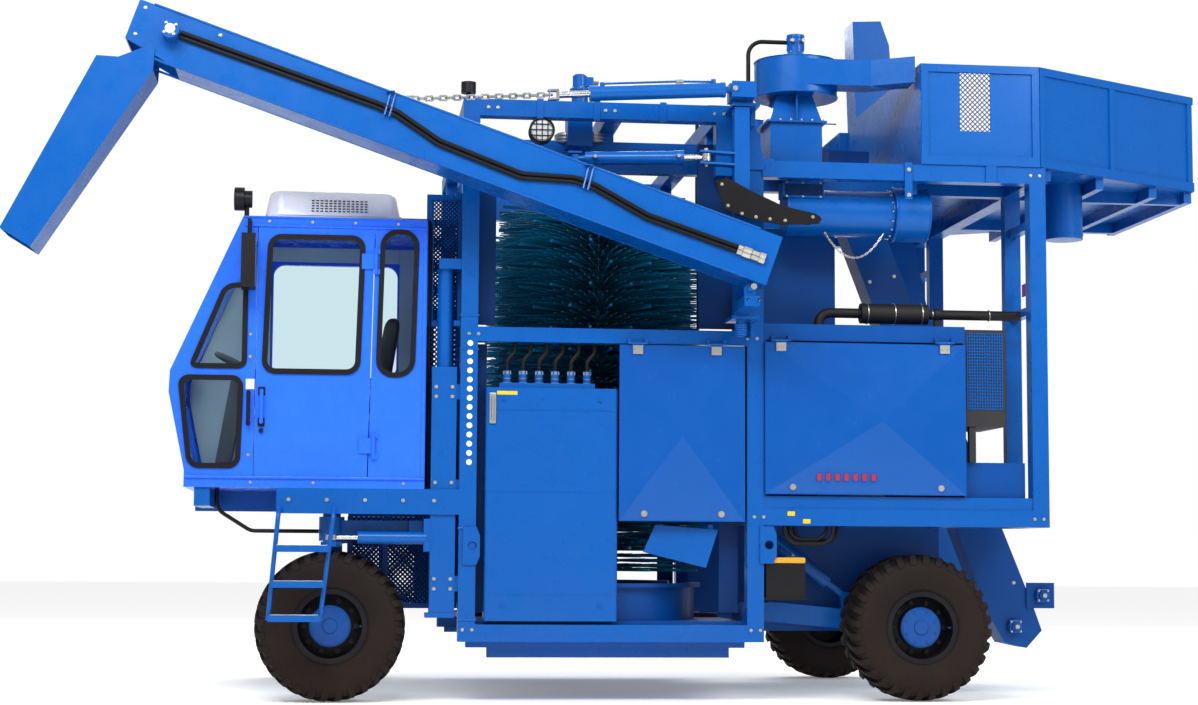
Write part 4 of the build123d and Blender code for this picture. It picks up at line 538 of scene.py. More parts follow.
carcass = bmesh.new()
rim_line = [carcass.verts.new((r, y, 0)) for y, r in profile]
line_edges = [carcass.edges.new((a, b)) for a, b in zip(rim_line, rim_line[1:] + rim_line[:1])]
bmesh.ops.spin(carcass, geom=rim_line + line_edges, cent=(0, 0, 0), axis=(0, 1, 0), angle=math.tau, steps=96,
               use_merge=True)
for face in carcass.faces:
    face.smooth = True
bmesh.ops.recalc_face_normals(carcass, faces=carcass.faces)
tread = bmesh.new()
for row in (-1, 1):
    one = bmesh.new()
    old = lug_corners(0, row)
    face = one.faces.new([one.verts.new(p) for p in old])
    for step in range(1, len(path)):
        pulled = bmesh.ops.extrude_face_region(one, geom=[face])
        face = next(g for g in pulled["geom"] if isinstance(g, bmesh.types.BMFace))
        new = lug_corners(step, row)
        for vert in face.verts:
            vert.co = new[min(range(4), key=lambda k: (old[k] - vert.co).length)]
        old = new
    if row > 0:
        bmesh.ops.rotate(one, verts=one.verts[:], cent=(0, 0, 0), matrix=Matrix.Rotation(math.pi / LUGS, 3, "Y"))
    bmesh.ops.recalc_face_normals(one, faces=one.faces)
    bmesh.ops.spin(one, geom=one.verts[:] + one.edges[:] + one.faces[:], cent=(0, 0, 0), axis=(0, 1, 0),
                   angle=math.tau * (LUGS - 1) / LUGS, steps=LUGS - 1, use_duplicate=True)
    row_data = bpy.data.meshes.new("lug_row")
    one.to_mesh(row_data)
    one.free()
    tread.from_mesh(row_data)
tread_data = bpy.data.meshes.new("tread")
tread.to_mesh(tread_data)
tread.free()
carcass.from_mesh(tread_data)
tyre_data = bpy.data.meshes.new("one_tyre")
carcass.to_mesh(tyre_data)
carcass.free()
print("one tyre:", len(tyre_data.polygons), "faces")

# %% Four tyres on their wheels
wheels = [("front_left", -1, -1.81), ("front_right", 1, -1.81), ("rear_left", -1, 1.69), ("rear_right", 1, 1.69)]
for name, side_sign, x in wheels:
    mesh = bmesh.new()
    mesh.from_mesh(tyre_data)
    bmesh.ops.translate(mesh, verts=mesh.verts, vec=(x, TUNNEL + side_sign * WHEEL_HALF, AXLE_Z))
    tyre = piece("flotation_tyre_" + name, mesh, tyre_rubber, "wheel_" + name, recalc=False)
    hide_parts("tyre_" + name)

# %% [markdown]
# ## Wheels
# The rims are dark blue paint darkened nearly to black as painted shade, so the nuts hardly show. What catches
# the eye is the round blue hub cover, a shallow drum with a softened edge and a ring of small screws. It could
# be one spun profile, but stacked cones say the same in a line of numbers each.

# %% Wheel nuts and hub covers
NUTS = 10
for name, side_sign, x in wheels:
    face = TUNNEL + side_sign * WHEEL_HALF
    mesh = bmesh.new()
    for dx, dz in on_circle(NUTS, 0.150):
        px, pz = x + dx, AXLE_Z + dz
        add_rod(mesh, (px, face + side_sign * 0.060, pz), (px, face + side_sign * 0.070, pz), 0.019, 14)
        add_rod(mesh, (px, face + side_sign * 0.070, pz), (px, face + side_sign * 0.088, pz), 0.0145, 6)
    # The nuts take the rim colour with its painted shade.
    piece("wheel_nuts_" + name, mesh, paint_rim_and_shade, "wheel_" + name)
    mesh = bmesh.new()
    for y0, y1, r0, r1 in ((0.066, 0.136, 0.121, 0.121), (0.136, 0.141, 0.121, 0.115),
                           (0.141, 0.144, 0.110, 0.108), (0.142, 0.152, 0.046, 0.040)):
        add_rod(mesh, (x, face + side_sign * y0, AXLE_Z), (x, face + side_sign * y1, AXLE_Z), r0, 48, r1)
    for dx, dz in on_circle(8, 0.094, 0.5):
        add_bolt(mesh, (x + dx, face + side_sign * 0.144, AXLE_Z + dz), (0, side_sign, 0), 0.010, 0.006)
    valve_x = x + 0.176
    add_rod(mesh, (valve_x, face + side_sign * 0.10, AXLE_Z), (valve_x, face + side_sign * 0.145, AXLE_Z), 0.006, 10)
    piece("hub_cover_" + name, mesh, paint_hub, "wheel_" + name)
print("nuts per wheel:", NUTS)

# %% [markdown]
# ## Side frame
# The front post carries a column of round reflectors, and the frame's clamps and plates are bolted.
# Each reflector is a shallow disc under a lower cone, which catches the light like a bevelled edge. A
# row of painted dots would be flat in a raking light, so these are solid.

# %% Reflectors on the front post
mesh = bmesh.new()
POST_X, TOP_Z, BOTTOM_Z, REFLECTORS = -1.02, 2.091, 1.392, 14
for k in range(REFLECTORS):
    z = TOP_Z - k * (TOP_Z - BOTTOM_Z) / (REFLECTORS - 1)
    add_rod(mesh, (POST_X, LEFT_FACE, z), (POST_X, LEFT_FACE - 0.004, z), 0.017, 24)
    add_rod(mesh, (POST_X, LEFT_FACE - 0.004, z), (POST_X, LEFT_FACE - 0.006, z), 0.014, 24, 0.010)
piece("post_reflectors", mesh, reflector_white)

# %% Frame bolts, clamps and tread lines
mesh = bmesh.new()
for x, z in ((-0.90, 3.50), (-0.20, 3.50), (0.46, 3.50), (-1.00, 2.147), (0.66, 2.147), (0.70, 1.087),
             (2.41, 1.087), (2.41, 3.175), (0.70, 3.175), (-1.02, 0.42), (0.68, 0.42)):
    for sign in (-1, 1):
        y = TUNNEL + sign * FRAME_HALF
        for dx in (-0.028, 0.028):
            add_bolt(mesh, (x + dx, y, z), (0, sign, 0), 0.014, 0.010)
for sign in (-1, 1):
    y = TUNNEL + sign * 1.435
    for z in (0.655, 0.712, 1.215, 1.272, 1.775, 1.832):
        for x in (-1.215, -1.12):
            add_bolt(mesh, (x, y, z), (0, sign, 0), 0.015, 0.011)
piece("frame_bolts", mesh, zinc)
mesh = bmesh.new()
for k in range(12):
    x = 0.86 + k * 0.125
    add_box(mesh, x, x + 0.05, LEFT_FACE + 0.075, LEFT_FACE + 0.13, 1.143, 1.1455, 0.0008)
piece("deck_tread_ribs", mesh, zinc)
mesh = bmesh.new()
for x in (0.72, 2.10):
    add_box(mesh, x, x + 0.07, LEFT_FACE - 0.010, LEFT_FACE, 3.125, 3.235, 0.004)
for x in (-0.64, -0.30, 0.10):
    add_box(mesh, x, x + 0.04, LEFT_FACE - 0.008, LEFT_FACE, 3.44, 3.56, 0.003)
for z in (0.47, 1.0, 2.05, 2.25, 3.05):
    add_box(mesh, -1.082, -0.968, LEFT_FACE - 0.005, LEFT_FACE, z, z + 0.012, 0.002)
piece("frame_clamps", mesh, paint_frame)

# %% [markdown]
# ## Picking drums
# A real drum is a dense brush: hundreds of thin fibre rods between the big ones, round a painted shaft.
# One level of rods is made once, then stacked and turned by an uneven angle, so that no column of tips
# lines up. Particles could scatter the rods too, but they wouldn't reach the exported model as a mesh.

# %% Shaft sleeves and hub bolts
DRUM_X = -0.17
DRUM_FOOT = 0.760
RING_PITCH = 0.132
RINGS = 18
drums = [("left", TUNNEL - 0.655), ("right", TUNNEL + 0.655)]
for name, y in drums:
    mesh = bmesh.new()
    for ring in range(RINGS - 1):
        z = DRUM_FOOT + ring * RING_PITCH
        add_rod(mesh, (DRUM_X, y, z + 0.0165), (DRUM_X, y, z + 0.1315), 0.1035, 28)
        for dz in (0.03, 0.112):
            add_rod(mesh, (DRUM_X, y, z + dz), (DRUM_X, y, z + dz + 0.006), 0.107, 28)
    piece("drum_sleeves_" + name, mesh, shaft_paint, "drum_" + name)
    mesh = bmesh.new()
    for ring in range(RINGS):
        z = DRUM_FOOT + ring * RING_PITCH + 0.016
        for dx, dy in on_circle(8, 0.113, 0.5):
            add_rod(mesh, (DRUM_X + dx, y + dy, z), (DRUM_X + dx, y + dy, z + 0.005), 0.006, 6)
    piece("drum_hub_bolts_" + name, mesh, bare_steel, "drum_" + name)

# %% Edge plates beside the drums
mesh = bmesh.new()
for sign in (-1, 1):
    outer = TUNNEL + sign * 1.300
    for x0, x1, z0, z1, lip_x in ((-0.975, -0.868, 2.215, 3.340, -0.868), (-0.975, -0.912, 0.520, 2.100, None),
                                  (0.360, 0.600, 2.215, 3.340, 0.360), (0.485, 0.600, 0.520, 1.050, None)):
        add_box(mesh, x0, x1, outer - 0.002, outer + 0.002, z0, z1, 0.0005)
        if lip_x is not None:
            add_box(mesh, lip_x - 0.003, lip_x + 0.003, outer, outer - sign * 0.060, z0, z1)
piece("drum_edge_plates", mesh, mesh_paint)

# %% Inner side sheets of the tunnel, behind the drums
mesh = bmesh.new()
SHEET_HALF = 0.8665
for sign in (-1, 1):
    y = TUNNEL + sign * SHEET_HALF
    add_box(mesh, 0.640, 1.950, y - 0.002, y + 0.002, 0.400, 1.130, 0.0005)
    for z in (0.430, 1.070):
        add_box(mesh, 0.640, 1.950, y - 0.012, y + 0.012, z, z + 0.030, 0.002)
y = TUNNEL - SHEET_HALF
add_box(mesh, 0.640, 1.296, y - 0.002, y + 0.002, 2.245, 2.900, 0.0005)
add_box(mesh, 0.640, 1.296, y - 0.012, y + 0.012, 2.870, 2.900, 0.002)
# The sheets take the darker azure copy, painted shade for the inside of the tunnel.
piece("tunnel_side_sheets", mesh, paint_shaded_copy)

# %% The brush of thin rods
THIN_RODS = 72
ROD_REACH = 0.632
SHAFT_R = 0.104
LEVELS_PER_RING = 4
UNEVEN_TURN = 2.4
level = bmesh.new()
for k in range(THIN_RODS):
    a = math.tau * k / THIN_RODS
    out = Vector((math.cos(a), math.sin(a), 0))
    droop = Vector((0, 0, 0.010 * math.sin(7 * a)))
    add_rod(level, out * SHAFT_R, out * ROD_REACH + droop, 0.0052, 4, 0.0042)
level_data = bpy.data.meshes.new("one_level_of_rods")
level.to_mesh(level_data)
level.free()
for name, y in drums:
    mesh = bmesh.new()
    for step in range((RINGS - 1) * LEVELS_PER_RING):
        if step % LEVELS_PER_RING == 0:
            continue
        before = len(mesh.verts)
        mesh.from_mesh(level_data)
        mesh.verts.ensure_lookup_table()
        lift = Matrix.Translation((DRUM_X, y, DRUM_FOOT + step * RING_PITCH / LEVELS_PER_RING))
        bmesh.ops.transform(mesh, verts=mesh.verts[before:], matrix=lift @ Matrix.Rotation(step * UNEVEN_TURN, 4, "Z"))
    print("thin rods on the", name, "drum:", len(mesh.verts) // 8)
    piece("drum_thin_rods_" + name, mesh, rod_fibre, "drum_" + name, recalc=False)

# %% [markdown]
# ## Tank
# The oil tank stands in the front bay with a sight gauge at its edge and six elbows on top that take
# the hoses. The elbows themselves come with the solids, so only their hexagons and rings are added: two
# six-sided rods and a ring each, instead of a modelled thread that nobody would see.

# %% Tank fittings
TANK_Y = LEFT_FACE - 0.005
ELBOW_Y = TANK_Y + 0.0725
mesh = bmesh.new()
for index in range(6):
    x = -0.560 + (index - 2.5) * 0.095
    add_rod(mesh, (x, ELBOW_Y, 1.852), (x, ELBOW_Y, 1.868), 0.029, 6)
    add_rod(mesh, (x, ELBOW_Y, 1.915), (x, ELBOW_Y, 1.934), 0.027, 6)
    add_ring(mesh, (x, ELBOW_Y, 1.890), UPWARD, 0.0245, 0.003, 20, 6)
piece("tank_elbows", mesh, zinc)
mesh = bmesh.new()
add_box(mesh, -0.905, -0.865, TANK_Y - 0.012, TANK_Y, 1.62, 1.80, 0.004)
add_rod(mesh, (-0.885, TANK_Y - 0.020, 1.645), (-0.885, TANK_Y - 0.020, 1.775), 0.008, 12)
piece("tank_sight_gauge", mesh, zinc)
mesh = bmesh.new()
add_box(mesh, -0.86, -0.74, TANK_Y - 0.002, TANK_Y, 1.790, 1.812, 0.0005)
piece("tank_blank_strip", mesh, tag_yellow)
mesh = bmesh.new()
for z in (0.62, 1.22, 1.70):
    add_box(mesh, -0.905, -0.163, TANK_Y - 0.002, TANK_Y + 0.001, z, z + 0.004)
for x in (-0.82, -0.25):
    for z in (0.56, 1.76):
        add_bolt(mesh, (x, TANK_Y, z), TO_LEFT, 0.014, 0.010)
piece("tank_welds", mesh, paint_frame)

# %% [markdown]
# ## Doors and engine bay
# The two pressed doors hang from strap hinges and close on quarter-turn latches. Behind them are the
# radiator's perforated face, the muffler's clamps and the battery with its amber lid. The perforated
# sheet is two sets of crossed strips: cutting hundreds of holes would cost far more for the same look.

# %% Door straps and latches
PANEL = LEFT_FACE - 0.020
for name, straps, latches in (("side_door", ((-0.03, 2.096), (0.44, 2.096)), ((0.01, 1.10), (0.47, 1.10))),
                              ("hood_door", ((0.83, 2.128), (1.83, 2.128)), ((0.90, 1.265), (1.80, 1.265)))):
    mesh = bmesh.new()
    for x, z in straps:
        add_box(mesh, x - 0.030, x + 0.030, PANEL - 0.0125, PANEL - 0.008, z - 0.055, z - 0.004, 0.0015)
        for dx in (-0.016, 0.016):
            add_bolt(mesh, (x + dx, PANEL - 0.0125, z - 0.030), TO_LEFT, 0.009, 0.006)
    for x, z in latches:
        add_rod(mesh, (x, PANEL - 0.012, z), (x, PANEL + 0.001, z), 0.019, 24)
        add_box(mesh, x - 0.013, x + 0.013, PANEL - 0.016, PANEL - 0.011, z - 0.004, z + 0.004, 0.001)
    piece(name + "_latches", mesh, zinc, name)

# %% Slots with red backing on the engine door
mesh = bmesh.new()
red = bmesh.new()
for k in range(7):
    x = 1.04 + k * 0.055
    add_box(mesh, x, x + 0.034, PANEL - 0.0145, PANEL - 0.004, 1.300, 1.352)
    add_box(red, x + 0.006, x + 0.028, PANEL - 0.0165, PANEL - 0.0140, 1.306, 1.346)
piece("hood_door_slot_frames", mesh, paint_panel, "hood_door")
piece("hood_door_slots_red", red, reflector_red, "hood_door")

# %% Radiator's perforated face
low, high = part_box("radiator")
mesh = bmesh.new()
MESH_FOOT = low.z + 0.60
for k in range(15):
    x = low.x + 0.012 + k * (high.x - low.x - 0.030) / 14
    add_box(mesh, x, x + 0.005, low.y - 0.004, low.y + 0.001, MESH_FOOT, high.z - 0.02)
for k in range(26):
    z = MESH_FOOT + k * (high.z - 0.025 - MESH_FOOT) / 25
    add_box(mesh, low.x + 0.012, high.x - 0.013, low.y - 0.005, low.y + 0.001, z, z + 0.005)
piece("radiator_mesh", mesh, paint_frame)
print("radiator from", [round(v, 3) for v in low], "to", [round(v, 3) for v in high])

# %% Muffler clamps
MUFFLER = (TUNNEL - 1.150, 2.345)
mesh = bmesh.new()
for x in (1.43, 1.60, 1.77):
    add_ring(mesh, (x, *MUFFLER), (1, 0, 0), 0.0628, 0.0045, 40, 8)
for x in (1.84, 2.20):
    add_ring(mesh, (x, *MUFFLER), (1, 0, 0), 0.0315, 0.004, 32, 8)
add_box(mesh, 1.857, 1.893, MUFFLER[0] - 0.040, MUFFLER[0] + 0.040, 2.240, 2.246, 0.002)
piece("muffler_clamps", mesh, zinc)

# %% Battery lid and posts
mesh = bmesh.new()
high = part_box("battery")[1]
add_box(mesh, 0.744, 0.981, high.y - 0.212, high.y + 0.004, 0.815, 0.849, 0.006)
piece("battery_lid", mesh, lid_amber)
mesh = bmesh.new()
for x in (0.79, 0.935):
    add_rod(mesh, (x, high.y - 0.05, 0.849), (x, high.y - 0.05, 0.869), 0.010, 16)
    add_ring(mesh, (x, high.y - 0.05, 0.858), UPWARD, 0.014, 0.004, 20, 6)
piece("battery_posts", mesh, zinc)

# %% Engine: rocker cover, ports and filters on the plain block
low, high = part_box("engine_block")
mesh = bmesh.new()
mid_y = (low.y + high.y) / 2
add_box(mesh, low.x + 0.06, high.x - 0.10, mid_y - 0.09, mid_y + 0.09, high.z, high.z + 0.075, 0.02)
for k in range(6):
    x = low.x + 0.12 + k * 0.09
    add_rod(mesh, (x, mid_y - 0.105, high.z + 0.02), (x, low.y + 0.02, high.z + 0.015), 0.018, 16)
for k in range(4):
    x = low.x + 0.08 + k * 0.15
    add_box(mesh, x, x + 0.11, low.y - 0.030, low.y, high.z - 0.26, high.z - 0.08, 0.01)
piece("engine_top_and_ports", mesh, iron)
mesh = bmesh.new()
for x in (low.x + 0.18, low.x + 0.31):
    add_rod(mesh, (x, low.y - 0.055, low.z + 0.10), (x, low.y - 0.055, low.z + 0.25), 0.042, 28)
piece("engine_filters", mesh, tag_white)

# %% [markdown]
# ## Lamps and mirror
# The round work lamp on the gantry has a pale lens behind a guard of crossed wires. Modelling the wires
# costs little and they read well against the bright sky, where a bump would vanish.

# %% Gantry lamp, cab lamp and mirror
LAMP = Vector((-0.607, LEFT_FACE + 0.020, 3.375))
CAB_LAMP = Vector((-2.400, TUNNEL - 1.400, 2.920))
WIRE_GAP = 0.034
mesh = bmesh.new()
add_rod(mesh, LAMP, LAMP + Vector((0, -0.010, 0)), 0.066, 40, 0.058)
add_rod(mesh, CAB_LAMP, CAB_LAMP + Vector((-0.008, 0, 0)), 0.060, 40, 0.052)
piece("lamp_lenses", mesh, reflector_white)
mesh = bmesh.new()
add_ring(mesh, LAMP + Vector((0, -0.012, 0)), (0, 1, 0), 0.072, 0.005, 40, 8)
for k in (-1, 0, 1):
    reach, shift = 0.068 if k == 0 else 0.060, k * WIRE_GAP
    add_rod(mesh, LAMP + Vector((-reach, -0.016, shift)), LAMP + Vector((reach, -0.016, shift)), 0.0028, 8)
    add_rod(mesh, LAMP + Vector((shift, -0.020, -reach)), LAMP + Vector((shift, -0.020, reach)), 0.0028, 8)
add_ring(mesh, CAB_LAMP + Vector((-0.002, 0, 0)), (1, 0, 0), 0.062, 0.006, 40, 8)
piece("lamp_guards", mesh, black_plastic)
mesh = bmesh.new()
add_box(mesh, -2.272, -2.2695, TUNNEL - 1.615, TUNNEL - 1.488, 2.390, 2.675, 0.001)
piece("mirror_face", mesh, bare_steel)

# %% [markdown]
# ## Seat
# Foam under cloth bulges between its edges. Each pad starts as a block a little too small, gets an even
# grid, and is blown up by the cloth solver, with a cap on how far it may swell. Sculpting the crown by
# hand would work too, but the solver puts the fullness where real foam has it.

# %% Padded cushions
SEAT_Y = TUNNEL - 0.960
MOST_SWELL = 0.012
SETTLE_FRAMES = 20


def padded_block(name, corners):
    mesh = bmesh.new()
    verts = [mesh.verts.new(place) for place in corners]
    for face in ((0, 1, 2, 3), (4, 7, 6, 5), (0, 4, 5, 1), (1, 5, 6, 2), (2, 6, 7, 3), (3, 7, 4, 0)):
        mesh.faces.new([verts[i] for i in face])
    bmesh.ops.bevel(mesh, geom=mesh.edges[:], offset=0.024, offset_type="OFFSET", affect="EDGES", segments=3,
                    profile=0.6, material=-1)
    pad = piece(name, mesh, seat_cloth, smooth=True)
    grid = pad.modifiers.new("even_grid", "REMESH")
    grid.mode = "VOXEL"
    grid.voxel_size = 0.012
    pad.data = bpy.data.meshes.new_from_object(pad.evaluated_get(bpy.context.evaluated_depsgraph_get()))
    pad.modifiers.clear()
    rest = [vert.co.copy() for vert in pad.data.vertices]
    swell = pad.modifiers.new("swell", "CLOTH")
    swell.settings.use_pressure = True
    swell.settings.uniform_pressure_force = 4
    swell.settings.effector_weights.gravity = 0
    for step in range(1, SETTLE_FRAMES + 1):
        bpy.context.scene.frame_set(step)
    blown = bpy.data.meshes.new_from_object(pad.evaluated_get(bpy.context.evaluated_depsgraph_get()))
    pad.modifiers.clear()
    pad.data = blown
    for vert, start in zip(blown.vertices, rest):
        shift = vert.co - start
        if shift.length > MOST_SWELL:
            vert.co = start + shift * (MOST_SWELL / shift.length)
    for face in blown.polygons:
        face.use_smooth = True
    bpy.context.scene.frame_set(1)
    return pad


near, far = SEAT_Y - 0.232, SEAT_Y + 0.232
low_pad = padded_block("seat_cushion", [
    (-2.025, near, 1.575), (-1.600, near, 1.575), (-1.600, far, 1.575), (-2.025, far, 1.575),
    (-2.025, near, 1.664), (-1.600, near, 1.664), (-1.600, far, 1.664), (-2.025, far, 1.664)])
near, far = SEAT_Y - 0.222, SEAT_Y + 0.222
back_pad = padded_block("seat_back", [
    (-1.604, near, 1.690), (-1.604, far, 1.690), (-1.518, far, 1.690), (-1.518, near, 1.690),
    (-1.496, near, 2.270), (-1.496, far, 2.270), (-1.428, far, 2.270), (-1.428, near, 2.270)])
mesh = bmesh.new()
add_box(mesh, -1.990, -1.650, SEAT_Y - 0.140, SEAT_Y + 0.140, 1.305, 1.565, 0.01)
add_box(mesh, -2.020, -1.580, SEAT_Y - 0.235, SEAT_Y + 0.235, 1.561, 1.574, 0.004)
for side in (-0.245, 0.225):
    add_box(mesh, -1.90, -1.58, SEAT_Y + side, SEAT_Y + side + 0.02, 1.60, 1.63, 0.004)
stand = piece("seat_stand", mesh, black_plastic)
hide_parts("cab_seat")
print("cushions:", [(p.name, len(p.data.vertices)) for p in (low_pad, back_pad)])

# %% Levers and switch box in the cab
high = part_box("cab_controls")[1]
mesh = bmesh.new()
for k in range(5):
    x = -2.06 + k * 0.075
    foot = Vector((x, high.y - 0.07, 1.780))
    knob = foot + Vector((-0.015, 0.010, 0.13))
    add_rod(mesh, foot, knob, 0.006, 12)
    add_rod(mesh, knob, foot + Vector((-0.018, 0.012, 0.175)), 0.014, 16, 0.018)
add_box(mesh, -2.10, -2.04, high.y - 0.15, high.y - 0.02, 1.795, 1.860, 0.006)
piece("cab_levers", mesh, black_plastic)

# %% [markdown]
# ## Meshes and guards
# Expanded metal closes the gap behind the cab, the hopper's window and the auger's hatch. A lattice of
# thin crossed strips stands for it, cut to each frame. An opacity pattern would be lighter, but it is
# lost when the meshes are used on their own.

# %% Lattices
def add_lattice(mesh, x0, x1, z0, z1, y, step, wire):
    """Thin rods at 45 degrees both ways, cut to a rectangle in X and Z."""
    across, high = x1 - x0, z1 - z0
    count = int((across + high) / step)
    for k in range(1, count):
        reach = k * step
        for flip in (False, True):
            a = Vector((min(reach, across), 0, max(0, reach - across)))
            b = Vector((max(0, reach - high), 0, min(reach, high)))
            if flip:
                a.x, b.x = across - a.x, across - b.x
            a += Vector((x0, y, z0))
            b += Vector((x0, y, z0))
            if (a - b).length > wire * 3:
                add_rod(mesh, a, b, wire, 4)


def add_border(mesh, x0, x1, z0, z1, y, wide, deep):
    for a0, a1, b0, b1 in ((x0, x1, z1 - wide, z1), (x0, x1, z0, z0 + wide), (x0, x0 + wide, z0 + wide, z1 - wide),
                           (x1 - wide, x1, z0 + wide, z1 - wide)):
        add_box(mesh, a0, a1, y, y + deep, b0, b1)

# %% Fences inside both front wheels, and guards behind the cab
for sign, side_name in ((-1, "left"), (1, "right")):
    mesh = bmesh.new()
    bars = bmesh.new()
    outer = TUNNEL + sign * 1.300
    inner = TUNNEL + sign * 0.840
    if sign < 0:
        add_lattice(mesh, -1.250, -1.075, 2.225, 2.965, outer, 0.024, 0.0045)
        add_border(bars, -1.262, -1.066, 2.212, 2.978, outer - 0.006, 0.026, 0.012)
        add_lattice(mesh, -1.262, -1.060, 1.130, 2.900, inner, 0.030, 0.0050)
        add_border(bars, -1.272, -1.050, 1.120, 2.910, inner - 0.015, 0.030, 0.030)
    add_lattice(mesh, -1.700, -1.060, 0.545, 1.095, inner, 0.030, 0.0050)
    add_border(bars, -1.715, -1.050, 0.530, 1.110, inner - 0.015, 0.030, 0.030)
    add_box(bars, -1.500, -1.470, inner - 0.014, inner + 0.014, 0.560, 1.080)
    for z in (0.560, 1.000):
        add_box(bars, -1.120, -1.080, inner, TUNNEL + sign * 1.285, z, z + 0.040)
    piece("guard_mesh_" + side_name, mesh, mesh_paint)
    # The bars take the darker azure copy, painted shade inside the wheel bay.
    piece("guard_bars_" + side_name, bars, paint_shaded_copy)
mesh = bmesh.new()
add_lattice(mesh, 1.940, 2.140, 3.435, 3.805, LEFT_FACE + 0.004, 0.030, 0.0026)
piece("hopper_window_mesh", mesh, mesh_paint)
HATCH_FACE = TUNNEL - 1.300
# A black plate behind the hatch mesh: painted shade for the dark inside of the auger housing.
mesh = bmesh.new()
add_box(mesh, 0.884, 1.126, HATCH_FACE - 0.0035, HATCH_FACE, 3.040, 3.120)
piece("auger_hatch_shade_plate", mesh, rubber_black)
mesh = bmesh.new()
add_lattice(mesh, 0.884, 1.126, 3.040, 3.120, HATCH_FACE - 0.005, 0.016, 0.0014)
for z in (3.036, 3.122):
    add_box(mesh, 0.876, 1.134, HATCH_FACE - 0.009, HATCH_FACE, z - 0.006, z + 0.006, 0.001)
for x in (0.882, 1.128):
    add_box(mesh, x - 0.006, x + 0.006, HATCH_FACE - 0.009, HATCH_FACE, 3.036, 3.122, 0.001)
piece("auger_hatch_mesh", mesh, paint_frame)

# %% [markdown]
# ## Auger, fans and hopper
# Rolled drums end in bolted rings, and the hopper's thin sheet is stiffened by a rail along each edge
# and uprights between them. Rings come from a spun circle, rails from a small face on the outline that
# is pulled upwards. Curves with a bevel would do the rings too, but they need turning into meshes later.

# %% Auger rings, bolts and its safety chain
AUGER_Y, AUGER_Z = TUNNEL - 1.180, 2.955
LINKS = 26
LINK_R = 0.0045
WIRE_R = 0.0022
mesh = bmesh.new()
for x, radius in ((0.912, 0.1425), (1.568, 0.1430), (1.582, 0.1665), (1.788, 0.1665)):
    add_ring(mesh, (x, AUGER_Y, AUGER_Z), (1, 0, 0), radius, 0.005, 48, 8)
add_box(mesh, 1.596, 1.644, LEFT_FACE - 0.012, LEFT_FACE, 3.010, 3.235, 0.004)
piece("auger_rings", mesh, paint_frame)
mesh = bmesh.new()
for dy, dz in on_circle(16, 0.150):
    add_bolt(mesh, (1.560, AUGER_Y + dy, AUGER_Z + dz), (-1, 0, 0), 0.010, 0.009)
for z in (3.035, 3.190):
    add_bolt(mesh, (1.620, LEFT_FACE - 0.012, z), TO_LEFT, 0.018, 0.012)
for x in (0.90, 1.00, 1.11):
    for z in (3.036, 3.122):
        add_bolt(mesh, (x, HATCH_FACE - 0.009, z), TO_LEFT, 0.009, 0.006)
shares = [k / LINKS for k in range(LINKS + 1)]
hang = [Vector((1.132 + t * 0.36, TUNNEL - 1.326, 2.812 - 0.148 * (1 - (2 * t - 1) ** 2))) for t in shares]
for k, (a, b) in enumerate(zip(hang, hang[1:])):
    mid = (a + b) / 2
    flat = (b - a).cross(Vector((0, 1, 0))).normalized() * LINK_R
    side = Vector((0, LINK_R, 0)) if k % 2 else flat
    stretch = (b - a) * 0.62
    for way in (-1, 1):
        add_rod(mesh, mid - stretch + side * way, mid + stretch + side * way, WIRE_R, 6)
    for way in (-1, 1):
        add_rod(mesh, mid + stretch * way - side * 1.3, mid + stretch * way + side * 1.3, WIRE_R, 6)
piece("auger_bolts_and_chain", mesh, zinc)

# %% Fan rings, gussets and bolts
FAN_X = 1.020
for sign, label in ((-1, "left"), (1, "right")):
    y = TUNNEL + sign * 1.000
    mesh = bmesh.new()
    add_ring(mesh, (FAN_X, y, 3.704), UPWARD, 0.257, 0.006, 56, 8)
    add_ring(mesh, (FAN_X, y, 3.928), UPWARD, 0.257, 0.005, 56, 8)
    for z in (3.738, 3.908):
        add_box(mesh, 1.44, 1.675, y - 0.26, y - 0.255, z - 0.004, z + 0.004)
    add_box(mesh, 0.985, 0.995, y - 0.187, y - 0.110, 3.533, 3.690, 0.002)
    for z in (3.985, 4.085):
        add_ring(mesh, (FAN_X, y, z), UPWARD, 0.0555, 0.004, 32, 8)
    piece("fan_rings_" + label, mesh, paint_frame)
    mesh = bmesh.new()
    for k in range(6):
        x = 0.822 + k * 0.0665
        for edge in (-0.176, 0.176):
            add_bolt(mesh, (x, y + edge, 3.532), UPWARD, 0.012, 0.010)
        if 0 < k < 5:
            for edge in (0.814, 1.166):
                add_bolt(mesh, (edge, y - 0.176 + k * 0.0704, 3.532), UPWARD, 0.012, 0.010)
    for dx, dy in on_circle(6, 0.085):
        add_bolt(mesh, (FAN_X + dx, y + dy, 3.980), UPWARD, 0.012, 0.009)
    for dx in (-0.035, 0.035):
        add_rod(mesh, (FAN_X + dx, y - 0.050, 4.060), (FAN_X + dx, y - 0.082, 4.060), 0.013, 6)
    piece("fan_bolts_" + label, mesh, zinc)

# %% Hopper rails and uprights
def add_rail(mesh, start, end, z0, z1, out, thick, wide=None):
    """A flat bar that stands on the outline from start to end, or only as wide as said."""
    start, end = Vector((*start, 0)), Vector((*end, 0))
    run = (end - start).normalized()
    normal = Vector((run.y, -run.x, 0)) * out
    if wide is not None:
        end = start + run * wide
    foot = [start, end, end + normal * thick, start + normal * thick]
    face = mesh.faces.new([mesh.verts.new(corner + Vector((0, 0, z0))) for corner in foot])
    pull(mesh, [face], (0, 0, z1 - z0))


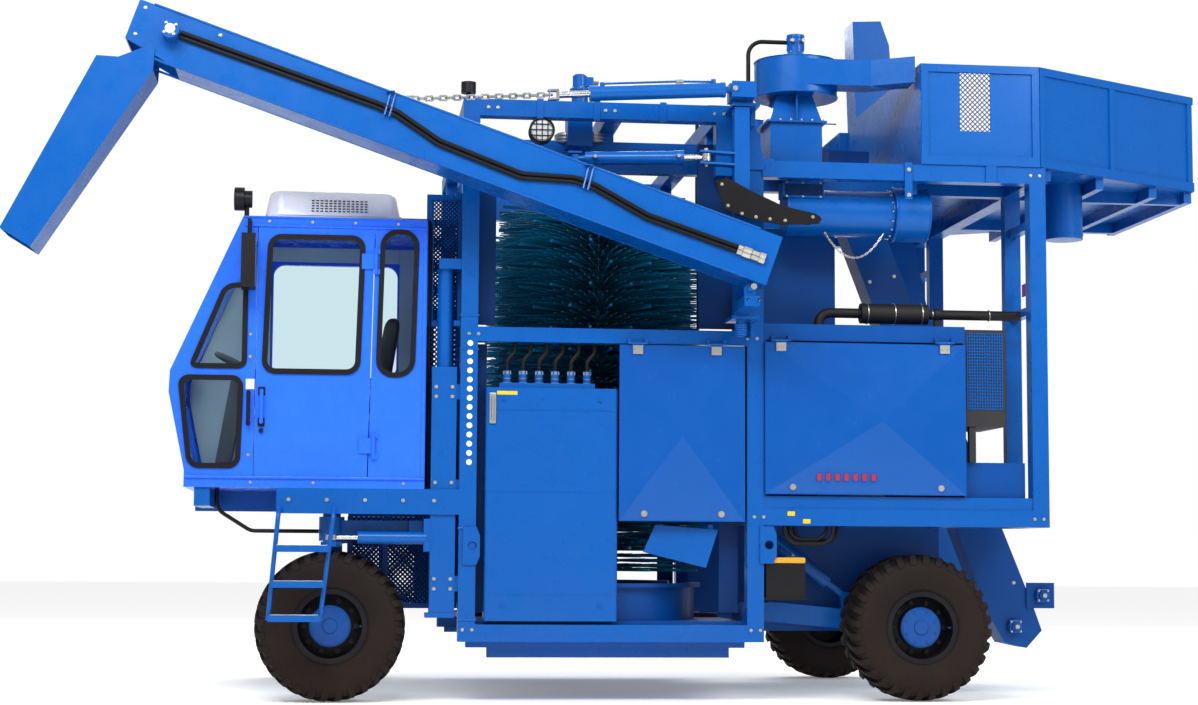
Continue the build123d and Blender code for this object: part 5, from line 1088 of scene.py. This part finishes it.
SILL = (3.228, 3.286)
CAP = (3.800, 3.848)
UPRIGHT = (SILL[1], CAP[0])
mesh = bmesh.new()
for sign in (-1, 1):
    line = [(1.700, TUNNEL + sign * FRAME_HALF), (2.440, TUNNEL + sign * FRAME_HALF), (3.700, TUNNEL + sign * 0.730)]
    out = 1 if sign < 0 else -1
    for a, b in zip(line, line[1:]):
        add_rail(mesh, a, b, *CAP, out, 0.012)
        add_rail(mesh, a, b, *SILL, out, 0.012)
    slope = (Vector(line[2]) - Vector(line[1])).normalized()
    for reach in (0.0, 0.640, 1.395):
        start = Vector(line[1]) + slope * reach
        add_rail(mesh, start, line[2], *UPRIGHT, out, 0.011, 0.045)
    add_rail(mesh, (1.702, line[0][1]), line[1], *UPRIGHT, out, 0.011, 0.045)
    add_rail(mesh, (2.395, line[0][1]), (2.45, line[0][1]), *UPRIGHT, out, 0.011, 0.045)
piece("hopper_rails", mesh, paint_frame)
mesh = bmesh.new()
for dx, dy in on_circle(20, 0.118):
    add_bolt(mesh, (2.790 + dx, TUNNEL - 0.850 + dy, 2.905), (dx, dy, 0), 0.008, 0.004)
piece("hopper_outlet_bolts", mesh, paint_frame)

# %% [markdown]
# ## Boom, mast and cylinders
# The cylinders carry their own pipes and fittings, and the boom has clips for its two hoses and a pair of
# quick couplings at its foot. Everything on the boom follows the boom, so it rides on that body. Places
# are given along the boom and across it, because numbers in the machine's own axes would hide the slope.

# %% Boom fittings
LEAN = math.radians(19.05)
BOOM_OUT = TUNNEL - 2.032
MAST = (0.555, TUNNEL - 1.650)


def on_boom(reach, rise):
    """X and Z of a point so far along the boom from its foot, and so far above its base line."""
    return (MAST[0] - reach * math.cos(LEAN) + rise * math.sin(LEAN),
            2.400 + reach * math.sin(LEAN) + rise * math.cos(LEAN))


def boom_point(reach, rise, y):
    x, z = on_boom(reach, rise)
    return Vector((x, y, z))


boom_dir = (boom_point(1, 0, 0) - boom_point(0, 0, 0)).normalized()
mesh = bmesh.new()
for reach in (2.287, 1.095):
    for turn in (-0.014, 0.014):
        add_rod(mesh, boom_point(reach + turn, 0.318, BOOM_OUT - 0.001),
                boom_point(reach + turn - 0.012, 0.175, BOOM_OUT - 0.027), 0.007, 10)
    clip_x, clip_z = on_boom(reach, 0)[0], on_boom(reach, 0.317)[1]
    add_box(mesh, clip_x + 0.062, clip_x + 0.112, BOOM_OUT - 0.030, BOOM_OUT + 0.004, clip_z, clip_z + 0.006, 0.002)
for reach in (0.05, 0.95, 1.85, 2.75, 3.35):
    add_rod(mesh, boom_point(reach, 0.0225, BOOM_OUT - 0.003), boom_point(reach + 0.05, 0.0225, BOOM_OUT - 0.003),
            0.006, 8)
for edge in (0.3165, 0.0245):
    for y in (BOOM_OUT + 0.001, BOOM_OUT + 0.319):
        add_rod(mesh, boom_point(0.06, edge, y), boom_point(3.70, edge, y), 0.007, 8)
piece("boom_clips", mesh, paint_frame, "boom")
mesh = bmesh.new()
for rise in (0.170, 0.143):
    for reach, radius, long, sides in ((0.150, 0.0165, 0.030, 20), (0.118, 0.019, 0.050, 6),
                                       (0.065, 0.0155, 0.045, 20), (0.018, 0.019, 0.035, 6)):
        start = boom_point(reach, rise, BOOM_OUT - 0.0125)
        add_rod(mesh, start, start - boom_dir * long, radius, sides)
head = boom_point(3.560, 0.200, BOOM_OUT - 0.090)
for dx, dz in on_circle(4, 0.038, 0.6 / (math.tau / 4)):
    add_bolt(mesh, head + Vector((dx, 0, dz)), TO_LEFT, 0.012, 0.008)
for reach, rise in ((3.74, 0.28), (3.74, 0.12), (3.30, 0.28)):
    add_bolt(mesh, boom_point(reach, rise, BOOM_OUT), TO_LEFT, 0.014, 0.010)
piece("boom_couplings", mesh, zinc, "boom")
mesh = bmesh.new()
add_rod(mesh, head, head + Vector((0, -0.010, 0)), 0.030, 32, 0.026)
piece("boom_motor_cap", mesh, tag_white, "boom")

# %% Mast pins, bolts and the ribbed sleeve at its foot
LUFF_Y = TUNNEL - 1.730
luff_pin = Vector((0.500, LUFF_Y, 3.590))
slew_eye = Vector((0.339, TUNNEL - 1.700, 3.185))
mesh = bmesh.new()
add_rod(mesh, luff_pin + Vector((0, -0.040, 0)), luff_pin + Vector((0, -0.050, 0)), 0.016, 28)
pin_x, pin_z = on_boom(0, -0.025)
add_rod(mesh, (pin_x, BOOM_OUT - 0.068, pin_z), (pin_x, BOOM_OUT - 0.080, pin_z), 0.018, 28)
for dz in (-0.041, 0.041):
    add_bolt(mesh, slew_eye + Vector((0, 0, dz)), (0, 0, dz), 0.022, 0.014)
for dx, dy in ((-0.032, -0.032), (0.032, -0.032), (-0.032, 0.032), (0.032, 0.032)):
    add_bolt(mesh, (MAST[0] + dx, BOOM_OUT - 0.030, 2.305), TO_LEFT, 0.012, 0.008)
piece("mast_pins", mesh, zinc, "mast")
mesh = bmesh.new()
for k in range(5):
    add_ring(mesh, (*MAST, 2.203 - k * 0.014), UPWARD, 0.030, 0.008, 28, 8)
add_rod(mesh, (*MAST, 2.212), (*MAST, 2.136), 0.027, 24)
piece("mast_sleeve", mesh, paint_frame, "mast")

# %% Cylinder pipes, glands and ports
luff_dir = (boom_point(2.260, 0.353, LUFF_Y) - luff_pin).normalized()
luff_up = luff_dir.cross(Vector((0, 1, 0)))
luff_up = luff_up if luff_up.z > 0 else -luff_up
anchor = Vector((-0.420, TUNNEL - 1.560, 3.185))
slew_dir = (slew_eye - anchor).normalized()
PIPE_RISE = 0.058
PORTS = (0.110, 0.600)


def on_luff(reach, rise=0.0):
    return luff_pin + luff_dir * reach + luff_up * rise


def on_slew(reach, out=0.0):
    return anchor + slew_dir * reach + Vector(TO_LEFT) * out


mesh = bmesh.new()
add_rod(mesh, on_luff(0.800), on_luff(0.858), 0.0465, 36)
add_rod(mesh, on_luff(0.055), on_luff(0.078), 0.0455, 36)
add_rod(mesh, on_luff(0.120, 0.050), on_luff(0.320, PIPE_RISE), 0.0065, 12)
add_rod(mesh, on_luff(0.320, PIPE_RISE), on_luff(0.760, PIPE_RISE), 0.0065, 12)
for reach in (0.120, 0.780):
    add_rod(mesh, on_luff(reach, 0.035), on_luff(reach, 0.064), 0.014, 16)
add_rod(mesh, on_luff(0.760, PIPE_RISE), on_luff(0.782, 0.050), 0.0065, 12)
piece("luff_cylinder_pipe", mesh, paint_frame, "luff_barrel")
mesh = bmesh.new()
add_rod(mesh, on_luff(0.300, PIPE_RISE), on_luff(0.345, PIPE_RISE), 0.012, 6)
piece("luff_cylinder_union", mesh, zinc, "luff_barrel")
mesh = bmesh.new()
add_rod(mesh, on_slew(0.585), on_slew(0.643), 0.0435, 36)
for reach in PORTS:
    add_rod(mesh, on_slew(reach, 0.030), on_slew(reach, 0.058), 0.014, 16)
piece("slew_cylinder_glands", mesh, paint_frame, "slew_barrel")
mesh = bmesh.new()
for reach in PORTS:
    add_rod(mesh, on_slew(reach, 0.058), on_slew(reach, 0.078), 0.011, 6)
piece("slew_cylinder_unions", mesh, zinc, "slew_barrel")

# %% Rubber chute bolts
mesh = bmesh.new()
FLAP = TUNNEL - 1.752
for x, z in ((0.424, 3.020), (0.460, 2.895), (0.543, 2.850), (0.626, 2.832), (0.709, 2.822), (0.800, 2.815),
             (0.965, 2.840)):
    add_bolt(mesh, (x, FLAP, z), TO_LEFT, 0.014, 0.009)
piece("chute_bolts", mesh, zinc)

# %% [markdown]
# ## Shakers on the gantry, lower bay and deck
# Belts and oil motors turn the shaker heads above the drums. Pulleys are short stepped discs. Lower down, a
# tilted plate hangs in the bay under the side door, and yellow blanks mark the deck's edge. All of them
# are boxes, cones and pulled outlines: at this size a finer shape wouldn't be seen.

# %% Pulleys, blank plates and tags
mesh = bmesh.new()
for x, y, r in ((-0.407, TUNNEL - 1.00, 0.085), (-0.250, TUNNEL - 1.06, 0.062)):
    for dz in (0.0, 0.020, 0.040):
        add_rod(mesh, (x, y, 3.380 + dz), (x, y, 3.390 + dz), r, 36)
    add_rod(mesh, (x, y, 3.376), (x, y, 3.440), r * 0.82, 30)
piece("shaker_pulleys", mesh, zinc)
MOTOR_X = -0.350
mesh = bmesh.new()
fittings = bmesh.new()
for sign in (-1, 1):
    y = TUNNEL + sign * 1.130
    for z0, z1, r0, r1 in ((3.680, 3.694, 0.062, 0.062), (3.694, 3.775, 0.044, 0.044),
                           (3.775, 3.783, 0.044, 0.036), (3.560, 3.572, 0.074, 0.070)):
        add_rod(mesh, (MOTOR_X, y, z0), (MOTOR_X, y, z1), r0, 32, r1)
    add_box(mesh, -0.318, -0.268, y - 0.030, y + 0.030, 3.702, 3.768, 0.006)
    for dy in (-0.016, 0.016):
        add_rod(fittings, (-0.268, y + dy, 3.735), (-0.236, y + dy, 3.735), 0.0115, 6)
    for dx, dy in on_circle(6, 0.053, 0.5):
        add_bolt(fittings, (MOTOR_X + dx, y + dy, 3.694), UPWARD, 0.009, 0.007)
piece("shaker_motors", mesh, paint_frame)
piece("shaker_motor_fittings", fittings, zinc)
mesh = bmesh.new()
add_sheet(mesh, [(0.087, 1.036), (0.016, 0.876), (0.392, 0.784), (0.464, 1.009)], LEFT_FACE + 0.060, -0.008)
for x, foot in ((0.105, 0.985), (0.405, 0.960)):
    add_box(mesh, x, x + 0.03, LEFT_FACE + 0.058, LEFT_FACE + 0.066, foot, 1.040, 0.001)
piece("lower_bay_plate", mesh, paint_frame)
mesh = bmesh.new()
for x, z in ((0.872, 1.095), (0.965, 1.050)):
    add_box(mesh, x, x + 0.045, LEFT_FACE - 0.002, LEFT_FACE, z, z + 0.026, 0.0005)
piece("deck_blank_tags", mesh, tag_yellow)
LADDER_TOP, LADDER_HIGH = 1.105, 0.627
mesh = bmesh.new()
for z in (0.880, 0.680, 0.490):
    lean = (LADDER_TOP - z) / LADDER_HIGH
    for k in range(6):
        y = TUNNEL - 1.800 + k * 0.020
        add_box(mesh, -2.095 - 0.050 * lean, -1.805 - 0.070 * lean, y - 0.004, y + 0.004, z + 0.018, z + 0.0215, 0.001)
piece("tread_grip_ribs", mesh, zinc)

# %% Elevator bolts, bearings and reflectors
ELEVATOR_FACE = TUNNEL - 0.700
mesh = bmesh.new()
for x, z in ((1.718, 2.639), (2.300, 1.150), (2.480, 0.700), (1.560, 2.600), (1.900, 1.700)):
    add_bolt(mesh, (x, ELEVATOR_FACE, z), TO_LEFT, 0.016, 0.010)
piece("elevator_bolts", mesh, zinc)
mesh = bmesh.new()
bearings = bmesh.new()
BOSS_FACE = TUNNEL - 0.730
for x, z in ((2.480, 0.425), (2.660, 0.620)):
    add_box(mesh, x - 0.042, x + 0.042, BOSS_FACE - 0.012, BOSS_FACE - 0.001, z - 0.042, z + 0.042, 0.006)
    add_rod(mesh, (x, BOSS_FACE - 0.012, z), (x, BOSS_FACE - 0.026, z), 0.030, 32, 0.026)
    add_rod(bearings, (x, BOSS_FACE - 0.020, z), (x, BOSS_FACE - 0.046, z), 0.014, 24)
    for dx, dz in ((-0.030, -0.030), (0.030, -0.030), (-0.030, 0.030), (0.030, 0.030)):
        add_bolt(bearings, (x + dx, BOSS_FACE - 0.012, z + dz), TO_LEFT, 0.010, 0.008)
piece("elevator_bearings", mesh, paint_frame)
piece("elevator_bearing_bolts", bearings, zinc)
mesh = bmesh.new()
add_box(mesh, 2.455, 2.461, TUNNEL - 1.10, TUNNEL - 1.02, 2.48, 2.56, 0.002)
piece("rear_reflector", mesh, reflector_red)

# %% [markdown]
# ## Camera, floor and light
# The photograph was taken from the left, low down and some fourteen metres off. A long lens keeps the
# posts upright. Three broad soft lights and a pale sky stand in for an open yard. An image of a sky
# could light it too, but plain lamps can be read and moved.

# %% Camera
IMAGE_WIDE = 1198
FOCAL_PX = 2190
SENSOR_MM = 36
CAMERA_PLACE = (-1.74, TUNNEL - 14.25, 0.83)
yaw = math.radians(6.6)
pitch = math.radians(5.4)
roll = math.radians(0.35)
look = Vector((math.sin(yaw) * math.cos(pitch), math.cos(yaw) * math.cos(pitch), math.sin(pitch)))
side = Vector((math.cos(yaw), -math.sin(yaw), 0))
up = side.cross(look)
side_rolled = side * math.cos(roll) + up * math.sin(roll)
up_rolled = up * math.cos(roll) - side * math.sin(roll)
camera_data = bpy.data.cameras.new("photo_camera")
camera_data.sensor_width = SENSOR_MM
camera_data.lens = FOCAL_PX / IMAGE_WIDE * SENSOR_MM
camera_data.clip_end = 200
camera = bpy.data.objects.new("photo_camera", camera_data)
turn = Matrix((side_rolled, up_rolled, -look)).transposed()
camera.matrix_world = Matrix.Translation(CAMERA_PLACE) @ turn.to_4x4()
bpy.context.collection.objects.link(camera)
bpy.context.scene.camera = camera
print("lens", round(camera_data.lens, 1), "mm")

# %% Floor and lights
floor_mesh = bmesh.new()
bmesh.ops.create_grid(floor_mesh, x_segments=1, y_segments=1, size=60)
floor_data = bpy.data.meshes.new("studio_floor")
floor_mesh.to_mesh(floor_data)
floor_mesh.free()
floor = bpy.data.objects.new("studio_floor", floor_data)
bpy.context.collection.objects.link(floor)
pale = bpy.data.materials.new("pale_floor")
pale.use_nodes = True
pale_inputs = pale.node_tree.nodes["Principled BSDF"].inputs
pale_inputs["Base Color"].default_value = (0.90, 0.90, 0.90, 1)
pale_inputs["Roughness"].default_value = 0.9
pale_inputs["Emission Color"].default_value = (1, 1, 1, 1)
pale_inputs["Emission Strength"].default_value = 0.22
floor_data.materials.append(pale)


def soft_light(name, place, target, size, power):
    data = bpy.data.lights.new(name, "AREA")
    data.shape = "RECTANGLE"
    data.size, data.size_y = size
    data.energy = power
    lamp = bpy.data.objects.new(name, data)
    aim = Vector(target) - Vector(place)
    lamp.matrix_world = Matrix.Translation(place) @ aim.to_track_quat("-Z", "Y").to_matrix().to_4x4()
    bpy.context.collection.objects.link(lamp)


soft_light("key_light", (-3.5, -8.5, 8.5), (0.3, -1, 3.2), (7, 3), 900)
soft_light("fill_light", (7, -8, 7), (2.2, 0, 3.0), (5, 3), 380)
soft_light("back_light", (2, 10, 9), (0, 0, 2), (8, 5), 600)

# %% Sky
# The camera sees plain white. What lights the paint is dimmer and brighter overhead, so that gloss
# shows as highlights instead of a white veil.
sky = bpy.data.worlds.new("pale_sky")
bpy.context.scene.world = sky
sky.use_nodes = True
tree = sky.node_tree
seen = tree.nodes["Background"]
seen.inputs["Color"].default_value = (1, 1, 1, 1)
felt = node(tree, "ShaderNodeBackground")
place = node(tree, "ShaderNodeTexCoord")
split = node(tree, "ShaderNodeSeparateXYZ")
tree.links.new(place.outputs["Generated"], split.inputs[0])
rise = node(tree, "ShaderNodeMapRange")
tree.links.new(split.outputs["Z"], rise.inputs["Value"])
rise.inputs["From Min"].default_value = -0.1
rise.inputs["From Max"].default_value = 0.8
rise.inputs["To Min"].default_value = 0.42
rise.inputs["To Max"].default_value = 1.1
tree.links.new(rise.outputs[0], felt.inputs["Strength"])
rays = node(tree, "ShaderNodeLightPath")
plain = math_node(tree, "MAXIMUM", rays.outputs["Is Camera Ray"], rays.outputs["Is Transmission Ray"])
choose = node(tree, "ShaderNodeMixShader")
tree.links.new(plain, choose.inputs[0])
tree.links.new(felt.outputs[0], choose.inputs[1])
tree.links.new(seen.outputs[0], choose.inputs[2])
tree.links.new(choose.outputs[0], tree.nodes["World Output"].inputs["Surface"])
bpy.context.scene.view_settings.view_transform = "Standard"
bpy.context.scene.view_settings.gamma = 0.88
